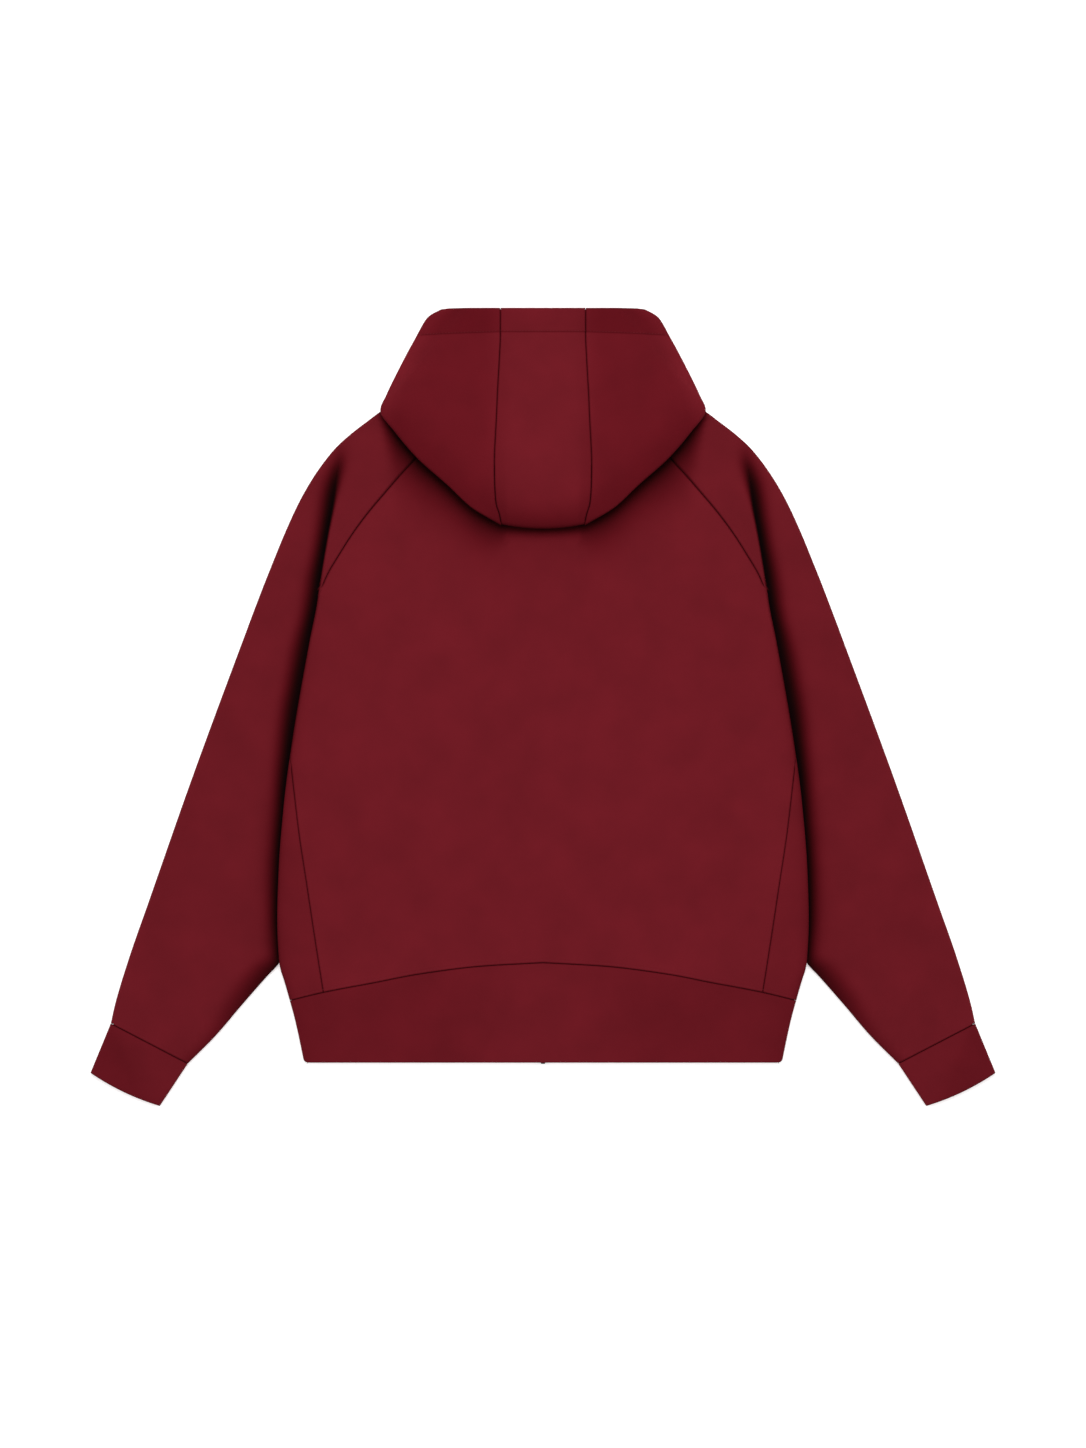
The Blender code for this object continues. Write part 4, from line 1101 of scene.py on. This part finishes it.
def start_block(name, low, high):
    """A cube stretched between two corners, in metres."""
    bpy.ops.object.select_all(action="DESELECT")
    bpy.ops.mesh.primitive_cube_add(size=1.0, location=[(a + b) / 2 for a, b in zip(low, high)])
    made = bpy.context.object
    made.name = made.data.name = name
    made.scale = [b - a for a, b in zip(low, high)]
    bpy.ops.object.transform_apply(location=True, rotation=False, scale=True)
    return made


def bevel_edges(piece, wanted, width, segments):
    """Bevel the edges whose two ends pass a test, in edit mode."""
    bpy.ops.object.select_all(action="DESELECT")
    piece.select_set(True)
    bpy.context.view_layer.objects.active = piece
    bpy.ops.object.mode_set(mode="EDIT")
    bpy.ops.mesh.select_mode(type="EDGE")
    bpy.ops.mesh.select_all(action="DESELECT")
    bpy.ops.object.mode_set(mode="OBJECT")
    points = piece.data.vertices
    for edge in piece.data.edges:
        edge.select = wanted(*(points[i].co for i in edge.vertices))
    bpy.ops.object.mode_set(mode="EDIT")
    bpy.ops.mesh.bevel(offset=width * MM, segments=segments, profile=0.5)
    bpy.ops.object.mode_set(mode="OBJECT")
    piece.select_set(False)


def upright(a, b):
    return abs(a.z - b.z) > 4 * math.dist(a[:2], b[:2])


def level(a, b):
    return abs(a.z - b.z) < 1e-6


tape_cloth = woven("zip_tape_weave", TAPE_RED)
tape_rows = [[(x, y, TAPE_TOP_Z + FRONT_LIFT * lift(0, y)) for x in TAPE_COLUMNS]
             for y in close_rows(*TAPE_Y, 6.0)]
for side_name, side in SIDES:
    tape = cloth(f"zip_tape_{side_name}_woven", tape_rows, TAPE_WALL, side)
    tape.data.materials.append(tape_cloth)
    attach(tape, "garment")
    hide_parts(f"zip_tape_{side_name}")

plating = plated("zip_plating", GUNMETAL, 0.32)
tooth = start_block("tooth", [-c / 2 * MM for c in TOOTH_SIZE], [c / 2 * MM for c in TOOTH_SIZE])
bevel_edges(tooth, upright, 0.3, 1)
bevel_edges(tooth, level, 0.2, 1)
places = []
count = int((TEETH_Y[1] - TEETH_Y[0]) / TOOTH_PITCH)
for i in range(count):
    y = TEETH_Y[0] + TOOTH_PITCH * i
    for side, ahead in ((1, 0.0), (-1, TOOTH_PITCH / 2)):
        spot_y = y + ahead
        places.append(((side * TOOTH_OUT, spot_y, TEETH_Z + FRONT_LIFT * lift(0, spot_y)), 0.0))
teeth = repeat("zip_teeth_moulded", tooth, places, plating)
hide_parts("zip_teeth")
bpy.data.objects.remove(tooth)

foot_low, foot_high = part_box("zip_box")
foot = start_block("zip_box_cast", foot_low, foot_high)
bevel_edges(foot, upright, 0.9, 3)
bevel_edges(foot, level, 0.35, 2)
foot.data.materials.append(plating)
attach(foot, "garment")
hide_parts("zip_box")


# ---------------------------------------------------------------- zip slider and pull
# A cast slider whose two plates hold the teeth together, with a bridge on its outer face. The
# pull tab hangs on the bridge by the bar of its eye, and is the only piece that swings.


def carve(piece, tool, operation="DIFFERENCE"):
    """Join a block to a piece or cut it out, and drop the block."""
    change = piece.modifiers.new("carve", "BOOLEAN")
    change.operation = operation
    change.object = tool
    apply_all(piece)
    bpy.data.objects.remove(tool)


def slider_block(name, half_x, y_low, y_high, z_low, z_high):
    """A block of the slider or pull, with y from the slider's middle and z from the surface."""
    return start_block(name, (-half_x * MM, (SLIDER_Y + y_low) * MM, z_low * MM),
                       (half_x * MM, (SLIDER_Y + y_high) * MM, z_high * MM))


def soften(piece, width, finish, body, node):
    """Round a metal piece's edges a little, and put it in place of its plain solid."""
    bevel = piece.modifiers.new("edges", "BEVEL")
    bevel.width = width * MM
    bevel.segments = 2
    bevel.limit_method = "ANGLE"
    apply_all(piece)
    piece.data.shade_smooth()
    piece.data.set_sharp_from_angle(angle=math.radians(40.0))
    piece.data.materials.append(finish)
    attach(piece, body)
    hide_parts(node)


slider = slider_block("zip_slider_cast", 5.2, -8.0, 5.0, 4.6, 5.9)
bevel_edges(slider, upright, 2.4, 4)
back_plate = slider_block("back_plate", 5.2, -8.0, 5.0, 9.0, 10.2)
bevel_edges(back_plate, upright, 2.4, 4)
post = slider_block("post", 2.4, -7.6, 4.0, 5.4, 9.6)
bevel_edges(post, upright, 1.8, 3)
bridge = slider_block("bridge", 1.1, -5.0, 4.0, 1.2, 5.0)
bevel_edges(bridge, lambda a, b: abs(a.x - b.x) > 1e-6 and a.z < 2 * MM, 1.0, 3)
for joined in (back_plate, post, bridge):
    carve(slider, joined, "UNION")
carve(slider, slider_block("bridge_gap", 2.0, -3.6, 2.6, 2.3, 4.6))
soften(slider, 0.22, plating, "garment", "zip_slider")

pull = slider_block("zip_pull_tab", 3.6, -36.0, 0.7, 2.75, 4.15)
bevel_edges(pull, lambda a, b: upright(a, b) and a.y < (SLIDER_Y - 30.0) * MM, 2.6, 5)
bevel_edges(pull, lambda a, b: upright(a, b) and a.y > SLIDER_Y * MM, 1.0, 3)
eye = slider_block("eye", 2.0, -8.5, -0.7, 1.75, 5.15)
bevel_edges(eye, upright, 0.8, 3)
slot = slider_block("slot", 1.9, -31.0, -22.0, 1.75, 5.15)
bevel_edges(slot, upright, 1.8, 5)
for hole in (eye, slot):
    carve(pull, hole)
soften(pull, 0.25, plating, "pull", "zip_pull")


# ---------------------------------------------------------------- floor, light and camera
# A plain white table under a big soft lamp, with the camera straight above the garment.

PIXEL = 1.11 * MM         # size of one of the frame's pixels on the table
VIEW_HEIGHT = 1448 * PIXEL
VIEW_CENTRE_Y = -18.3 * MM
CAMERA_UP = 8.0
SENSOR = 36.0

bpy.ops.mesh.primitive_plane_add(size=12.0, location=(0, 0, -0.0004))
floor = bpy.context.object
floor.name = "floor"
white, _, _ = start_material("white_table", {
    "Base Color": (0.92, 0.92, 0.92, 1.0), "Roughness": 0.9, "Specular IOR Level": 0.0,
    "Emission Color": (1.0, 1.0, 1.0, 1.0), "Emission Strength": 0.5})
floor.data.materials.append(white)

for lamp_name, where, size, power in (("key", (0.0, 2.2, 3.6), 2.4, 95.0),
                                      ("fill_left", (-3.2, -0.4, 2.4), 2.0, 42.0),
                                      ("fill_right", (3.2, -0.4, 2.4), 2.0, 42.0)):
    bpy.ops.object.light_add(type="AREA", location=where)
    lamp = bpy.context.object
    lamp.name = lamp_name
    lamp.data.size = size
    lamp.data.energy = power
    lamp.rotation_euler = lamp.location.to_track_quat("Z", "Y").to_euler()

world = bpy.data.worlds.new("soft_room")
bpy.context.scene.world = world
world.use_nodes = True
world.node_tree.nodes["Background"].inputs["Color"].default_value = (1.0, 1.0, 1.0, 1.0)
world.node_tree.nodes["Background"].inputs["Strength"].default_value = 0.32

bpy.ops.object.camera_add(location=(0.0, VIEW_CENTRE_Y, CAMERA_UP), rotation=(0.0, 0.0, 0.0))
camera = bpy.context.object
camera.data.sensor_width = SENSOR
camera.data.lens = SENSOR * CAMERA_UP / VIEW_HEIGHT
camera.data.clip_end = 30.0
bpy.context.scene.camera = camera
bpy.context.scene.view_settings.view_transform = "Standard"

bpy.context.view_layer.update()
